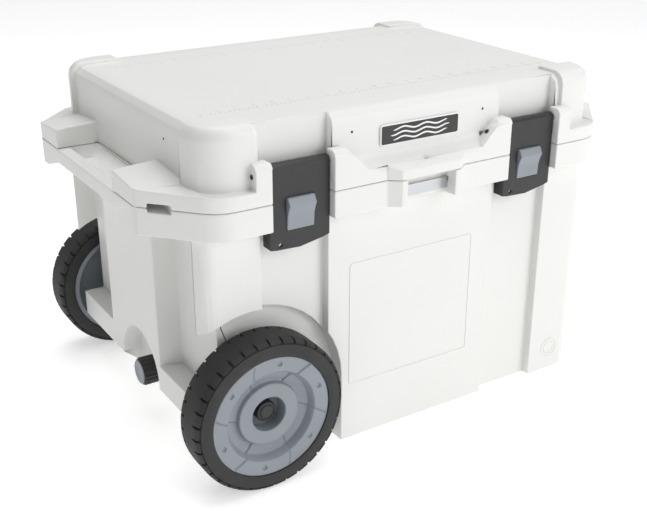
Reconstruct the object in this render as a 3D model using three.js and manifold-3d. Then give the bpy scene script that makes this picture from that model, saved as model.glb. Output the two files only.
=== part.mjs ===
// Wheeled hard cooler: an insulated tub with an insulated hinged lid, two press-and-pull latches,
// moulded end handles, a screw drain and two wheels at the -X end.
// Millimetres, +Z up, origin on the ground at the middle of the base, front towards -Y.
import * as THREE from "three";
import { mergeVertices } from "three/addons/utils/BufferGeometryUtils.js";
import Module from "manifold-3d";

// ---------- driving dimensions ----------

// Clearances
const SEAT_GAP = 0.3; // between pieces that touch
const RUN_GAP = 0.5; // beside a piece that turns or slides
const PLUG_GAP = 2.5; // between the lid's plug and the liner
const SEAM_GAP = 0.6; // between the tub's rim and the lid

// Tub body
const BODY_HALF_LENGTH = 311;
const BODY_HALF_DEPTH = 222;
const BODY_CORNER_RADIUS = 24;
const SHELL_WALL = 4;
const FOOT_HEIGHT = 3;
const SEAM_HEIGHT = 374; // rim of the tub above the ground

// Vertical latch bays moulded into the front and back walls
const LATCH_X = 180.5; // middle of each latch
const TUB_BAY_MARGIN = 6; // bay beyond each side of the latch
const TUB_BAY_DEPTH = 12;
const LID_BAY_MARGIN = 8.5;
const LID_BAY_DEPTH = 13;

// Channels in the end walls, either side of the middle panel
const CHANNEL_DEPTH = 30;
const CHANNEL_PANEL_HALF_WIDTH = 84;
const CHANNEL_SLOPE = 10;
const CHANNEL_POST_WIDTH = 19;
const CHANNEL_FLOOR_HEIGHT = 112;

// Collar round the rim, its end wings and the handle bars
const COLLAR_PROUD = 23.5;
const COLLAR_DROP = 34.6;
const WING_REACH = 51;
const WING_CUT_X = 70.3; // how far the wing's diagonal cuts in from the end
const WING_CUT_Y = 79.5; // and back from the front
const WING_FRONT_RADIUS = 48;
const WING_TIP_RADIUS = 12;
const HANDLE_GAP_HALF_WIDTH = 100;
const HANDLE_BAR_THICKNESS = 18;
const HANDLE_BAR_HEIGHT = 20;
const HANDLE_STRAIGHT_HALF_WIDTH = 90;
const HANDLE_CURVE_HALF_WIDTH = 148;
const HANDLE_BEND_REACH = 14; // from the straight part to the corner of its bend
const HANDLE_BEND_RADIUS = 20;

// Tie-down slots through the wings' diagonals, at the seam
const SLOT_PLACE = 0.62; // along the diagonal, from its front end
const SLOT_HALF_WIDTH = 15;
const SLOT_DROP = 5;
const SLOT_RISE = 6;
const SLOT_MARGIN = 6; // from the handle gap's edges, at the slot's inner mouth
const SLOT_WALL = 10; // left between the slot and the handle gap
const SLOT_SHAFT = 30; // length of the shaft by which the strap leaves under the wing

// Hasp at the middle of the front
const HASP_PROUD = 11.5;
const HASP_HALF_WIDTH = 46;
const HASP_FLARE = 15;
const HASP_RISE = 13;
const HASP_SLOPE = 6;
const HASP_ROOT = 5; // how far its root reaches into the collar
const HASP_WINDOW_HALF_WIDTH = 37.4;
const HASP_WINDOW_DEPTH = 21;
const LOCK_HOLE_RADIUS = 5;
const LOCK_HOLE_INSET = 16; // behind the hasp's front face
const OPENER_THICKNESS = 2;
const OPENER_DEPTH = 16.5; // behind the hasp's front face
const OPENER_DROP = 13; // its top edge below the seam
const OPENER_HEIGHT = 14.5;
const OPENER_TONGUE = 6; // how far each end sits in its post

// Liner and insulation
const END_INSULATION = 71;
const SIDE_INSULATION = 67;
const FLOOR_INSULATION = 57;
const LINER_WALL = 3;
const LINER_RADIUS = 27;
const LINER_FLANGE = 3.7;

// Lid
const LID_END_INSET = 7; // lid wall behind the tub's end wall
const LID_FRONT_PROUD = 4; // lid wall in front of the tub's front wall
const LID_BACK_INSET = 6;
const LID_RADIUS = 42;
const LID_HEIGHT = 91.4; // top above the seam
const LID_EDGE_RADIUS = 18;
const LEDGE_RISE = 19; // the lid's collar above the seam
const COVE_RADIUS = 19;
const BUMPER_PROUD = 6;
const BUMPER_TOP = 4.6;
const BUMPER_ALONG = 67; // length of each corner bumper along the front
const BUMPER_ACROSS = 43; // and along the ends
const WING_TIP_RISE = 3; // the wing's top above the ledge at its tip
const WING_TIP_BACK = 64; // from the wing's inner face to that point
const WING_SLOPE_X = 0.048;
const WING_SLOPE_Y = 0.082;
const LID_LINER_THICKNESS = 6.4;
const PLUG_DEPTH = 18;
const GASKET_WIDTH = 10;
const GASKET_THICKNESS = 3.3;
const GASKET_INSET = 4; // from the plug's wall to the gasket

// Hinges at the back
const HINGE_X = 180.5;
const HINGE_REACH = 6.5; // pin behind the collar's back face
const HINGE_RISE = 6; // pin above the seam
const HINGE_KNUCKLE_RADIUS = 8;
const HINGE_PIN_RADIUS = 3.5;
const HINGE_LID_KNUCKLE = 40;
const HINGE_TUB_KNUCKLE = 18;
const HINGE_NECK = 12; // how far the knuckles reach in front of the pin

// Latches
const LATCH_SIDE_GAP = 0.9;
const LATCH_SET_BACK = 10.5; // latch face behind the collar's front face
const LATCH_THICKNESS = 4;
const LATCH_PIN_RISE = 31; // pin above the seam
const LATCH_PIN_DEPTH = 9; // pin behind the latch face
const LATCH_PIN_RADIUS = 3;
const LATCH_PIN_SEAT = 12; // length of the pin in the inner ear's sloped part
const LATCH_PIN_COVER = 2; // wall of the outer ear beyond the pin's end
const LATCH_BARREL_RADIUS = 12.3;
const LATCH_DROP = [62, 68.4, 56]; // lower edge below the seam at the left, middle and right
const LATCH_EDGE_RADIUS = 150;
const LATCH_RIB = 3.5;
const LATCH_RIB_DEPTH = 15;
const LANYARD_HOLE_RADIUS = 2.6;
const LANYARD_HOLE_SIDE = 14; // from the lever's left edge
const LANYARD_HOLE_DROP = 57; // below the seam
const EAR_RISE = 50; // top of the ears above the seam
const EAR_INNER_FLAT = 19;
const EAR_INNER_SLOPE = 30;
const EAR_OUTER_WIDTH = 22;
const EAR_RADIUS = 8;
const CATCH_SIDE_GAP = 1.3; // from the button's housing to the catch and hook beside it
const CATCH_WIDTH = 10;
const CATCH_RIB_GAP = 2; // from the catch to the latch's side rib
const CATCH_DROP = 20;
const CATCH_HEIGHT = 6;
const CATCH_PROUD = 6.5;
const HOOK_DROP = 28;
const HOOK_HEIGHT = 6;

// Buttons
const BUTTON_HALF_WIDTH = 18.7;
const BUTTON_TOP = 1; // top edge above the seam
const BUTTON_HEIGHT = 41;
const BUTTON_NOSE = 8; // nose in front of the latch face
const BUTTON_NOSE_DROP = 9; // nose below the button's top
const BUTTON_LIP = 1.5; // its lower edge in front of the latch face
const BUTTON_TOP_LIP = 3; // and its upper edge
const BUTTON_SCOOP = 2.5; // the hollow of its face in front of the latch face
const BUTTON_SCOOP_RISE = 18.5; // the hollow above the button's lower edge
const BUTTON_SCOOP_RADIUS = 30;
const BUTTON_FLANGE = 3;
const BUTTON_FLANGE_THICKNESS = 2.5;
const BUTTON_DEPTH = 11.5; // back of the button behind the latch face
const BUTTON_TRAVEL = 3.5;
const BUTTON_HOUSING_WALL = 2.5;
const BUTTON_HOUSING_DEPTH = 12;
const BACKPLATE_THICKNESS = 2;
const SPRING_RADIUS = 5;
const SPRING_WIRE = 1;
const SPRING_POCKET = 9.5;

// Wheels
const WHEEL_RADIUS = 104;
const WHEEL_WIDTH = 52;
const WHEEL_INSET = 71; // axle from the body's end
const WHEEL_OUT = 43; // wheel's outer face beyond the body's front
const WELL_CLEARANCE = 24; // round the tyre
const WELL_SIDE_CLEARANCE = 13; // behind the wheel
const TYRE_DEPTH = 22;
const TYRE_SHOULDER = 5;
const RIM_ANNULUS = 20;
const RIM_SET_BACK = 1.5;
const RIM_DISH_DEPTH = 15;
const HUB_RADIUS = 41.7;
const HUB_SET_BACK = 10;
const HUB_BORE_RADIUS = 23.5;
const HUB_BORE_DEPTH = 30;
const HUB_LENGTH = 48;
const HUB_BACK_RADIUS = 24;
const RIM_WEB = 14;
const RIM_DRAFT = 2; // taper of the dish's wall and of the barrel behind it
const RIM_BARREL_WALL = 7;
const RIM_LENGTH = 50;
const HUB_CHAMFER = 1;
const AXLE_RADIUS = 8;
const AXLE_SOCKET_DEPTH = 35;
const AXLE_BOSS_WALL = 7;
const BUSH_WALL = 4.4;
const AXLE_CAP_RADIUS = 14;
const AXLE_CAP_LENGTH = 13.7;
const AXLE_CAP_END = 8;
const AXLE_CAP_CHAMFER = 2;

// Wheel-end underside and the drain
const BEVEL_RISE = 71; // where the sloping underside meets the end wall
const BEVEL_RUN = 85;
const ALCOVE_RADIUS = 62;
const ALCOVE_Y = -15;
const ALCOVE_SPRING_HEIGHT = 77;
const ALCOVE_DEPTH = 28;
const DRAIN_Y = -21;
const DRAIN_ABOVE_FLOOR = 15;
const DRAIN_TUBE_RADIUS = 10;
const DRAIN_BORE_RADIUS = 6.5;
const DRAIN_TUBE_LENGTH = 21; // outside the alcove's wall
const DRAIN_FLANGE_RADIUS = 14;
const DRAIN_FLANGE_THICKNESS = 3;
const DRAIN_GASKET_THICKNESS = 1.5;
const DRAIN_NUT_RADIUS = 16;
const DRAIN_NUT_THICKNESS = 4;
const DRAIN_CAP_RADIUS = 20;
const DRAIN_CAP_LENGTH = 26;
const DRAIN_CAP_WALL = 11; // solid end of the cap
const DRAIN_DISC_RADIUS = 17;
const DRAIN_DISC_THICKNESS = 1;
const TETHER_THICKNESS = 1.8;
const TETHER_HALF_WIDTH = 4;
const TETHER_LENGTH = 36; // from the tube's middle to its upper end
const TETHER_STUD = 7;

// Nameplate and feet
const NAMEPLATE_HALF_WIDTH = 60.5;
const NAMEPLATE_HEIGHT = 25;
const NAMEPLATE_RISE = 40; // its lower edge above the seam
const NAMEPLATE_THICKNESS = 2;
const NAMEPLATE_RADIUS = 3;
const FOOT_RADIUS = 15;
const FOOT_END_INSET = 41; // foot's middle from the body's far end
const FOOT_SIDE_INSET = 52; // and from its front and back

// Roundness of the faceted solids
const ARC_STEP = Math.PI / 10;
const ROUND_SIDES = 16;
const WHEEL_SIDES = 40;
const EDGE_STEPS = 3;
const OVERSHOOT = 20; // how far a cutting solid runs past what it cuts
const JOIN = 1; // how far two joined shapes run into each other
const WELD = 1e-4;

// ---------- places worked out from them ----------

const HALF_LENGTH = BODY_HALF_LENGTH + WING_REACH;
const COLLAR_HALF_DEPTH = BODY_HALF_DEPTH + COLLAR_PROUD;
const COLLAR_BOTTOM = SEAM_HEIGHT - COLLAR_DROP;
const LID_BOTTOM = SEAM_HEIGHT + SEAM_GAP;
const LEDGE_HEIGHT = SEAM_HEIGHT + LEDGE_RISE;
const LID_TOP = SEAM_HEIGHT + LID_HEIGHT;
const LID_HALF_LENGTH = BODY_HALF_LENGTH - LID_END_INSET;
const LID_FRONT = -(BODY_HALF_DEPTH + LID_FRONT_PROUD);
const LID_BACK = BODY_HALF_DEPTH - LID_BACK_INSET;
const LINER_HALF_LENGTH = BODY_HALF_LENGTH - END_INSULATION;
const LINER_HALF_DEPTH = BODY_HALF_DEPTH - SIDE_INSULATION;
const LINER_FLOOR = FOOT_HEIGHT + FLOOR_INSULATION;
const HASP_FRONT = -(COLLAR_HALF_DEPTH + HASP_PROUD);
const RECESS_FLOOR = LID_FRONT + LID_BAY_DEPTH;
const LATCH_FACE = LATCH_SET_BACK - COLLAR_HALF_DEPTH;
const LATCH_PIN_Y = LATCH_FACE + LATCH_PIN_DEPTH;
const LATCH_PIN_Z = SEAM_HEIGHT + LATCH_PIN_RISE;
const LATCH_BACK = LATCH_FACE + LATCH_THICKNESS;
const BUTTON_TOP_Z = SEAM_HEIGHT + BUTTON_TOP;
const BUTTON_BOTTOM_Z = BUTTON_TOP_Z - BUTTON_HEIGHT;
const HOUSING_BACK = LATCH_BACK + BUTTON_HOUSING_DEPTH;
const HOUSING_HALF_WIDTH = BUTTON_HALF_WIDTH + BUTTON_FLANGE + RUN_GAP + BUTTON_HOUSING_WALL;
const CATCH_OFFSET = HOUSING_HALF_WIDTH + CATCH_SIDE_GAP;
const LATCH_HALF_WIDTH = CATCH_OFFSET + CATCH_WIDTH + CATCH_RIB_GAP + LATCH_RIB;
const LATCH_RECESS_HALF_WIDTH = LATCH_HALF_WIDTH + LATCH_SIDE_GAP;
const TUB_BAY_HALF_WIDTH = LATCH_HALF_WIDTH + TUB_BAY_MARGIN;
const LID_BAY_HALF_WIDTH = LATCH_HALF_WIDTH + LID_BAY_MARGIN;
const HINGE_Y = COLLAR_HALF_DEPTH + HINGE_REACH;
const HINGE_Z = SEAM_HEIGHT + HINGE_RISE;
const WHEEL_X = WHEEL_INSET - BODY_HALF_LENGTH;
const WHEEL_FACE = BODY_HALF_DEPTH + WHEEL_OUT;
const WELL_WALL = WHEEL_FACE - WHEEL_WIDTH - WELL_SIDE_CLEARANCE;
const WELL_RADIUS = WHEEL_RADIUS + WELL_CLEARANCE;
const ALCOVE_FLOOR = ALCOVE_DEPTH - BODY_HALF_LENGTH;
const DRAIN_Z = LINER_FLOOR + DRAIN_ABOVE_FLOOR;
const HANDLE_BAR_INNER = HALF_LENGTH - HANDLE_BAR_THICKNESS;
const SIDES = [-1, 1];

// ---------- solids from three.js shapes ----------

const wasm = await Module();
wasm.setup();

// A closed geometry as a solid that can be joined and cut.
function toSolid(geometry) {
  const bare = geometry.clone();
  bare.deleteAttribute("normal");
  bare.deleteAttribute("uv");
  const welded = mergeVertices(bare, WELD);
  return new wasm.Manifold(
    new wasm.Mesh({
      numProp: 3,
      vertProperties: new Float32Array(welded.getAttribute("position").array),
      triVerts: new Uint32Array(welded.index.array),
    }),
  );
}

function toGeometry(solid) {
  const mesh = solid.getMesh();
  const geometry = new THREE.BufferGeometry();
  geometry.setAttribute("position", new THREE.BufferAttribute(mesh.vertProperties, 3));
  geometry.setIndex(new THREE.BufferAttribute(mesh.triVerts, 1));
  geometry.computeVertexNormals();
  return geometry;
}

function join(first, ...others) {
  return others.flat().reduce((sum, next) => sum.add(next), first);
}

function cut(first, ...others) {
  return others.flat().reduce((rest, next) => rest.subtract(next), first);
}

// A box between two places on each axis, given in either order.
function block(xs, ys, zs) {
  const sizes = [xs, ys, zs].map(([from, to]) => Math.abs(to - from));
  const middles = [xs, ys, zs].map(([from, to]) => (from + to) / 2);
  return toSolid(new THREE.BoxGeometry(...sizes).translate(...middles));
}

// Points of a closed outline from its corners [u, v, radius]: a corner with a radius becomes an arc.
function outline(corners) {
  const at = corners.map(([u, v]) => new THREE.Vector2(u, v));
  return corners.flatMap(([, , radius = 0], i) => {
    const here = at[i];
    if (radius <= 0) return [here];
    const before = at.at(i - 1).clone().sub(here).normalize();
    const after = at[(i + 1) % at.length].clone().sub(here).normalize();
    const half = Math.acos(before.dot(after)) / 2;
    const centre = before.clone().add(after).setLength(radius / Math.sin(half)).add(here);
    const start = before.clone().multiplyScalar(radius / Math.tan(half)).add(here).sub(centre);
    const sweep = (Math.PI - 2 * half) * -Math.sign(before.cross(after));
    const steps = Math.max(1, Math.ceil(Math.abs(sweep) / ARC_STEP));
    return Array.from({ length: steps + 1 }, (_, k) =>
      start.clone().rotateAround(new THREE.Vector2(), (sweep * k) / steps).add(centre),
    );
  });
}

// Rounded rectangle about the middle, as corners for an outline.
function rectangle(halfU, halfV, radius) {
  const signs = [[-1, -1], [1, -1], [1, 1], [-1, 1]];
  return signs.map(([u, v]) => [u * halfU, v * halfV, radius]);
}

// Which way an outline's two directions and its extrusion point: (y, z) along x, (z, x) along y
// and (x, y) along z.
const BASES = {
  x: [[0, 1, 0], [0, 0, 1], [1, 0, 0]],
  y: [[0, 0, 1], [1, 0, 0], [0, 1, 0]],
  z: [[1, 0, 0], [0, 1, 0], [0, 0, 1]],
};

// An outline carried along an axis between two places, with its end edges rounded by edge.
function prism(axis, corners, [from, to], edge = 0) {
  const low = Math.min(from, to);
  const geometry = new THREE.ExtrudeGeometry(new THREE.Shape(outline(corners)), {
    depth: Math.abs(to - from) - 2 * edge,
    bevelEnabled: edge > 0,
    bevelThickness: edge,
    bevelSize: edge,
    bevelOffset: -edge,
    bevelSegments: EDGE_STEPS,
    curveSegments: 1,
  });
  geometry.translate(0, 0, low + edge);
  const basis = BASES[axis].map((direction) => new THREE.Vector3(...direction));
  geometry.applyMatrix4(new THREE.Matrix4().makeBasis(...basis));
  return toSolid(geometry);
}

// A round bar along an axis, its middle given in the outline's two directions.
function rod(axis, [u, v], radius, ends, sides = ROUND_SIDES) {
  const corners = Array.from({ length: sides }, (_, k) => {
    const angle = (2 * Math.PI * k) / sides;
    return [u + radius * Math.cos(angle), v + radius * Math.sin(angle)];
  });
  return prism(axis, corners, ends);
}

function tube(axis, middle, outer, inner, [from, to], sides = ROUND_SIDES) {
  const past = Math.sign(to - from) * OVERSHOOT;
  const bore = rod(axis, middle, inner, [from - past, to + past], sides);
  return cut(rod(axis, middle, outer, [from, to], sides), bore);
}

// A closed profile of [radius, y] points turned about the y axis. The profile runs along its inner
// side first, towards +y, and back along its outer side.
function turned(profile, sides) {
  const loop = [...profile, profile[0]].reverse();
  const points = loop.map(([radius, y]) => new THREE.Vector2(radius, y));
  return toSolid(new THREE.LatheGeometry(points, sides));
}

// ---------- tub ----------

// Rounded block of the body with its latch bays and end channels, shrunk all round by inset.
function bodyBlock(inset, bottom, top) {
  const halfLength = BODY_HALF_LENGTH - inset;
  const halfDepth = BODY_HALF_DEPTH - inset;
  const whole = prism("z", rectangle(halfLength, halfDepth, BODY_CORNER_RADIUS - inset), [bottom, top]);
  const bays = SIDES.flatMap((sx) =>
    SIDES.map((sy) =>
      block(
        [sx * (LATCH_X - TUB_BAY_HALF_WIDTH - inset), sx * (LATCH_X + TUB_BAY_HALF_WIDTH + inset)],
        [sy * (halfDepth - TUB_BAY_DEPTH), sy * (halfDepth + OVERSHOOT)],
        [bottom - OVERSHOOT, top + OVERSHOOT],
      ),
    ),
  );
  const channelFloor = halfLength - CHANNEL_DEPTH;
  const panel = CHANNEL_PANEL_HALF_WIDTH - inset;
  const post = BODY_HALF_DEPTH - CHANNEL_POST_WIDTH + inset;
  const channels = SIDES.flatMap((sx) =>
    SIDES.map((sy) =>
      prism(
        "z",
        [
          [sx * (halfLength + inset + OVERSHOOT), sy * panel],
          [sx * halfLength, sy * panel],
          [sx * channelFloor, sy * (panel + CHANNEL_SLOPE)],
          [sx * channelFloor, sy * post],
          [sx * (halfLength + inset + OVERSHOOT), sy * post],
        ],
        [CHANNEL_FLOOR_HEIGHT - inset, top + OVERSHOOT],
      ),
    ),
  );
  return cut(whole, bays, channels);
}

// Wheel wells, the drain's alcove and the sloping underside of the wheel end, grown by a wall.
function bodyHollows(wall) {
  const wellRadius = WELL_RADIUS + wall;
  const beyond = BODY_HALF_DEPTH + OVERSHOOT;
  const wells = SIDES.flatMap((sy) => [
    rod("y", [WHEEL_RADIUS, WHEEL_X], wellRadius, [sy * (WELL_WALL - wall), sy * beyond], WHEEL_SIDES),
    block(
      [-HALF_LENGTH, WHEEL_X + wellRadius],
      [sy * (WELL_WALL - wall), sy * beyond],
      [-OVERSHOOT, WHEEL_RADIUS],
    ),
  ]);
  const alcoveRadius = ALCOVE_RADIUS + wall;
  const alcoveEnds = [-HALF_LENGTH, ALCOVE_FLOOR + wall];
  const alcove = [
    rod("x", [ALCOVE_Y, ALCOVE_SPRING_HEIGHT], alcoveRadius, alcoveEnds, 2 * ROUND_SIDES),
    block(
      alcoveEnds,
      [ALCOVE_Y - alcoveRadius, ALCOVE_Y + alcoveRadius],
      [-OVERSHOOT, ALCOVE_SPRING_HEIGHT],
    ),
  ];
  const slope = BEVEL_RISE / BEVEL_RUN;
  const raised = wall * Math.hypot(1, slope);
  const past = 4 * OVERSHOOT;
  const underside = prism(
    "y",
    [
      [BEVEL_RISE + FOOT_HEIGHT + raised + slope * past, -BODY_HALF_LENGTH - past],
      [FOOT_HEIGHT + raised - slope * past, -BODY_HALF_LENGTH + BEVEL_RUN + past],
      [FOOT_HEIGHT - past * 2, -BODY_HALF_LENGTH - past],
    ],
    [-beyond, beyond],
  );
  return [...wells, ...alcove, underside];
}

function axleBosses(extra) {
  const blind = WELL_WALL - AXLE_SOCKET_DEPTH - SHELL_WALL;
  return SIDES.map((sy) =>
    rod(
      "y",
      [WHEEL_RADIUS, WHEEL_X],
      AXLE_RADIUS + AXLE_BOSS_WALL + extra,
      [sy * (blind - extra), sy * WELL_WALL],
    ),
  );
}

// The space inside the tub's shell that the insulation fills, kept clear of the shell by gap.
function tubCavity(gap, top) {
  const inset = SHELL_WALL + gap;
  return cut(
    bodyBlock(inset, FOOT_HEIGHT + inset, top),
    bodyHollows(inset),
    axleBosses(gap),
  );
}

// Outline of the collar with its end wings, the same for the tub and the lid.
function collarOutline() {
  const frontX = HALF_LENGTH - WING_CUT_X;
  const tipY = COLLAR_HALF_DEPTH - WING_CUT_Y;
  const corner = [
    [frontX, COLLAR_HALF_DEPTH, WING_FRONT_RADIUS],
    [HALF_LENGTH, tipY, WING_TIP_RADIUS],
  ];
  const turn = (sx, sy, list) => list.map(([x, y, radius]) => [sx * x, sy * y, radius]);
  const back = [...corner].reverse();
  return [...turn(1, -1, corner), ...turn(1, 1, back), ...turn(-1, 1, corner), ...turn(-1, -1, back)];
}

// Tie-down slots: in at each wing's diagonal face, out by a shaft through its underside.
function tieDownSlots() {
  const start = new THREE.Vector2(HALF_LENGTH - WING_CUT_X, COLLAR_HALF_DEPTH);
  const end = new THREE.Vector2(HALF_LENGTH, COLLAR_HALF_DEPTH - WING_CUT_Y);
  const along = end.clone().sub(start).normalize();
  const outward = new THREE.Vector2(-along.y, along.x);
  const middle = start.clone().lerp(end, SLOT_PLACE).addScaledVector(outward, OVERSHOOT / 2);
  const low = middle.clone().addScaledVector(along, SLOT_HALF_WIDTH);
  const high = middle.clone().addScaledVector(along, -SLOT_HALF_WIDTH);
  const closed = HANDLE_GAP_HALF_WIDTH + SLOT_WALL;
  const inner = BODY_HALF_LENGTH + SLOT_MARGIN;
  const outer = HANDLE_BAR_INNER - SLOT_MARGIN / 2;
  return SIDES.flatMap((sx) =>
    SIDES.map((sy) =>
      join(
        prism(
          "z",
          [
            [sx * low.x, sy * low.y],
            [sx * high.x, sy * high.y],
            [sx * inner, sy * closed],
            [sx * outer, sy * closed],
          ],
          [SEAM_HEIGHT - SLOT_DROP, SEAM_HEIGHT + SLOT_RISE],
        ),
        block(
          [sx * inner, sx * outer],
          [sy * closed, sy * (closed + SLOT_SHAFT)],
          [COLLAR_BOTTOM - OVERSHOOT, SEAM_HEIGHT + SLOT_RISE],
        ),
      ),
    ),
  );
}

// Hasp outline in plan, from its flared root to its front face.
function haspOutline() {
  const root = -COLLAR_HALF_DEPTH;
  return [
    [-HASP_HALF_WIDTH - HASP_FLARE, root + HASP_ROOT],
    [-HASP_HALF_WIDTH - HASP_FLARE, root],
    [-HASP_HALF_WIDTH, HASP_FRONT],
    [HASP_HALF_WIDTH, HASP_FRONT],
    [HASP_HALF_WIDTH + HASP_FLARE, root],
    [HASP_HALF_WIDTH + HASP_FLARE, root + HASP_ROOT],
  ];
}

function latchRecesses(bottom, top) {
  return SIDES.map((sx) =>
    block(
      [sx * LATCH_X - LATCH_RECESS_HALF_WIDTH, sx * LATCH_X + LATCH_RECESS_HALF_WIDTH],
      [RECESS_FLOOR, HASP_FRONT - OVERSHOOT],
      [bottom, top],
    ),
  );
}

// Where each hinge's knuckles lie along x: the lid's in the middle, the tub's either side.
const LID_KNUCKLES = SIDES.map((sx) => [
  sx * HINGE_X - HINGE_LID_KNUCKLE / 2,
  sx * HINGE_X + HINGE_LID_KNUCKLE / 2,
]);
const TUB_KNUCKLES = LID_KNUCKLES.flatMap(([low, high]) => [
  [low - RUN_GAP - HINGE_TUB_KNUCKLE, low - RUN_GAP],
  [high + RUN_GAP, high + RUN_GAP + HINGE_TUB_KNUCKLE],
]);

function knuckle(ends, foot) {
  const barrel = rod("x", [HINGE_Y, HINGE_Z], HINGE_KNUCKLE_RADIUS, ends);
  const neck = block(ends, [HINGE_Y - HINGE_NECK, HINGE_Y], foot);
  return join(barrel, neck);
}

// Room for the other half's knuckles.
function knuckleRoom([low, high], zs) {
  const front = HINGE_Y - HINGE_NECK - RUN_GAP;
  return block([low - RUN_GAP, high + RUN_GAP], [front, HINGE_Y + 2 * OVERSHOOT], zs);
}

function hingeBores(radius) {
  const reach = HINGE_LID_KNUCKLE / 2 + RUN_GAP + HINGE_TUB_KNUCKLE;
  return SIDES.map((sx) =>
    rod("x", [HINGE_Y, HINGE_Z], radius, [
      sx * HINGE_X - reach - OVERSHOOT,
      sx * HINGE_X + reach + OVERSHOOT,
    ]),
  );
}

function drainBore(radius, from, to) {
  return rod("x", [DRAIN_Y, DRAIN_Z], radius, [from, to]);
}

function tubShell() {
  const body = cut(bodyBlock(0, FOOT_HEIGHT, SEAM_HEIGHT), bodyHollows(0));
  const collar = prism("z", collarOutline(), [COLLAR_BOTTOM, SEAM_HEIGHT]);
  const fingerGaps = SIDES.map((sx) =>
    block(
      [sx * BODY_HALF_LENGTH, sx * HANDLE_BAR_INNER],
      [-HANDLE_GAP_HALF_WIDTH, HANDLE_GAP_HALF_WIDTH],
      [COLLAR_BOTTOM - OVERSHOOT, SEAM_HEIGHT + OVERSHOOT],
    ),
  );
  const barBottom = SEAM_HEIGHT - HANDLE_BAR_HEIGHT;
  const bend = HANDLE_STRAIGHT_HALF_WIDTH + HANDLE_BEND_REACH;
  const underBar = SIDES.map((sx) =>
    prism(
      "x",
      [
        [-HANDLE_CURVE_HALF_WIDTH, COLLAR_BOTTOM - OVERSHOOT],
        [-HANDLE_CURVE_HALF_WIDTH, COLLAR_BOTTOM],
        [-bend, barBottom, HANDLE_BEND_RADIUS],
        [bend, barBottom, HANDLE_BEND_RADIUS],
        [HANDLE_CURVE_HALF_WIDTH, COLLAR_BOTTOM],
        [HANDLE_CURVE_HALF_WIDTH, COLLAR_BOTTOM - OVERSHOOT],
      ],
      [sx * BODY_HALF_LENGTH, sx * (HALF_LENGTH + OVERSHOOT)],
    ),
  );
  const ring = cut(collar, fingerGaps, underBar);
  const hasp = prism("z", haspOutline(), [COLLAR_BOTTOM, SEAM_HEIGHT]);
  const window = block(
    [-HASP_WINDOW_HALF_WIDTH, HASP_WINDOW_HALF_WIDTH],
    [HASP_FRONT - OVERSHOOT, HASP_FRONT + HASP_WINDOW_DEPTH],
    [COLLAR_BOTTOM - OVERSHOOT, SEAM_HEIGHT + OVERSHOOT],
  );
  const openerSlot = openerBlock(SEAT_GAP);
  const knuckles = TUB_KNUCKLES.map((ends) => knuckle(ends, [COLLAR_BOTTOM, HINGE_Z]));
  const lidKnuckleRoom = LID_KNUCKLES.map((ends) =>
    knuckleRoom(ends, [HINGE_Z - HINGE_KNUCKLE_RADIUS - RUN_GAP, HINGE_Z + OVERSHOOT]),
  );
  const catches = SIDES.flatMap((sx) =>
    SIDES.map((side) =>
      block(
        [
          sx * LATCH_X + side * CATCH_OFFSET,
          sx * LATCH_X + side * (CATCH_OFFSET + CATCH_WIDTH),
        ],
        [RECESS_FLOOR - CATCH_PROUD, RECESS_FLOOR + JOIN],
        [SEAM_HEIGHT - CATCH_DROP - CATCH_HEIGHT, SEAM_HEIGHT - CATCH_DROP],
      ),
    ),
  );
  const outside = cut(
    join(body, ring, hasp, knuckles),
    window,
    openerSlot,
    lidKnuckleRoom,
    latchRecesses(COLLAR_BOTTOM - OVERSHOOT, SEAM_HEIGHT + OVERSHOOT),
    tieDownSlots(),
    hingeBores(HINGE_PIN_RADIUS + SEAT_GAP),
  );
  const sockets = SIDES.map((sy) =>
    rod(
      "y",
      [WHEEL_RADIUS, WHEEL_X],
      AXLE_RADIUS + SEAT_GAP,
      [sy * (WELL_WALL - AXLE_SOCKET_DEPTH - SEAT_GAP), sy * (WELL_WALL + OVERSHOOT)],
    ),
  );
  return cut(
    join(outside, catches),
    tubCavity(0, SEAM_HEIGHT + OVERSHOOT),
    sockets,
    drainBore(DRAIN_TUBE_RADIUS + SEAT_GAP, -HALF_LENGTH, -LINER_HALF_LENGTH),
  );
}

function linerBlock(grow, bottom, top) {
  const plan = rectangle(LINER_HALF_LENGTH + grow, LINER_HALF_DEPTH + grow, LINER_RADIUS + grow);
  return prism("z", plan, [bottom, top]);
}

function tubLiner() {
  const basin = linerBlock(LINER_WALL, LINER_FLOOR - LINER_WALL, SEAM_HEIGHT);
  const flange = cut(
    tubCavity(SEAT_GAP, SEAM_HEIGHT),
    block(
      [-HALF_LENGTH, HALF_LENGTH],
      [-COLLAR_HALF_DEPTH, COLLAR_HALF_DEPTH],
      [-OVERSHOOT, SEAM_HEIGHT - LINER_FLANGE],
    ),
  );
  return cut(
    join(basin, flange),
    linerBlock(0, LINER_FLOOR, SEAM_HEIGHT + OVERSHOOT),
    drainBore(DRAIN_TUBE_RADIUS + SEAT_GAP, -HALF_LENGTH, 0),
  );
}

function tubInsulation() {
  const top = SEAM_HEIGHT - LINER_FLANGE - SEAT_GAP;
  return cut(
    tubCavity(SEAT_GAP, top),
    linerBlock(LINER_WALL + SEAT_GAP, LINER_FLOOR - LINER_WALL - SEAT_GAP, SEAM_HEIGHT),
    drainBore(DRAIN_TUBE_RADIUS + SEAT_GAP, -HALF_LENGTH, 0),
  );
}

function openerBlock(gap) {
  const front = HASP_FRONT + OPENER_DEPTH;
  const top = SEAM_HEIGHT - OPENER_DROP;
  const halfWidth = HASP_WINDOW_HALF_WIDTH + OPENER_TONGUE + gap;
  return block(
    [-halfWidth, halfWidth],
    [front - gap, front + OPENER_THICKNESS + gap],
    [top - OPENER_HEIGHT - gap, top + gap],
  );
}

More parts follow.
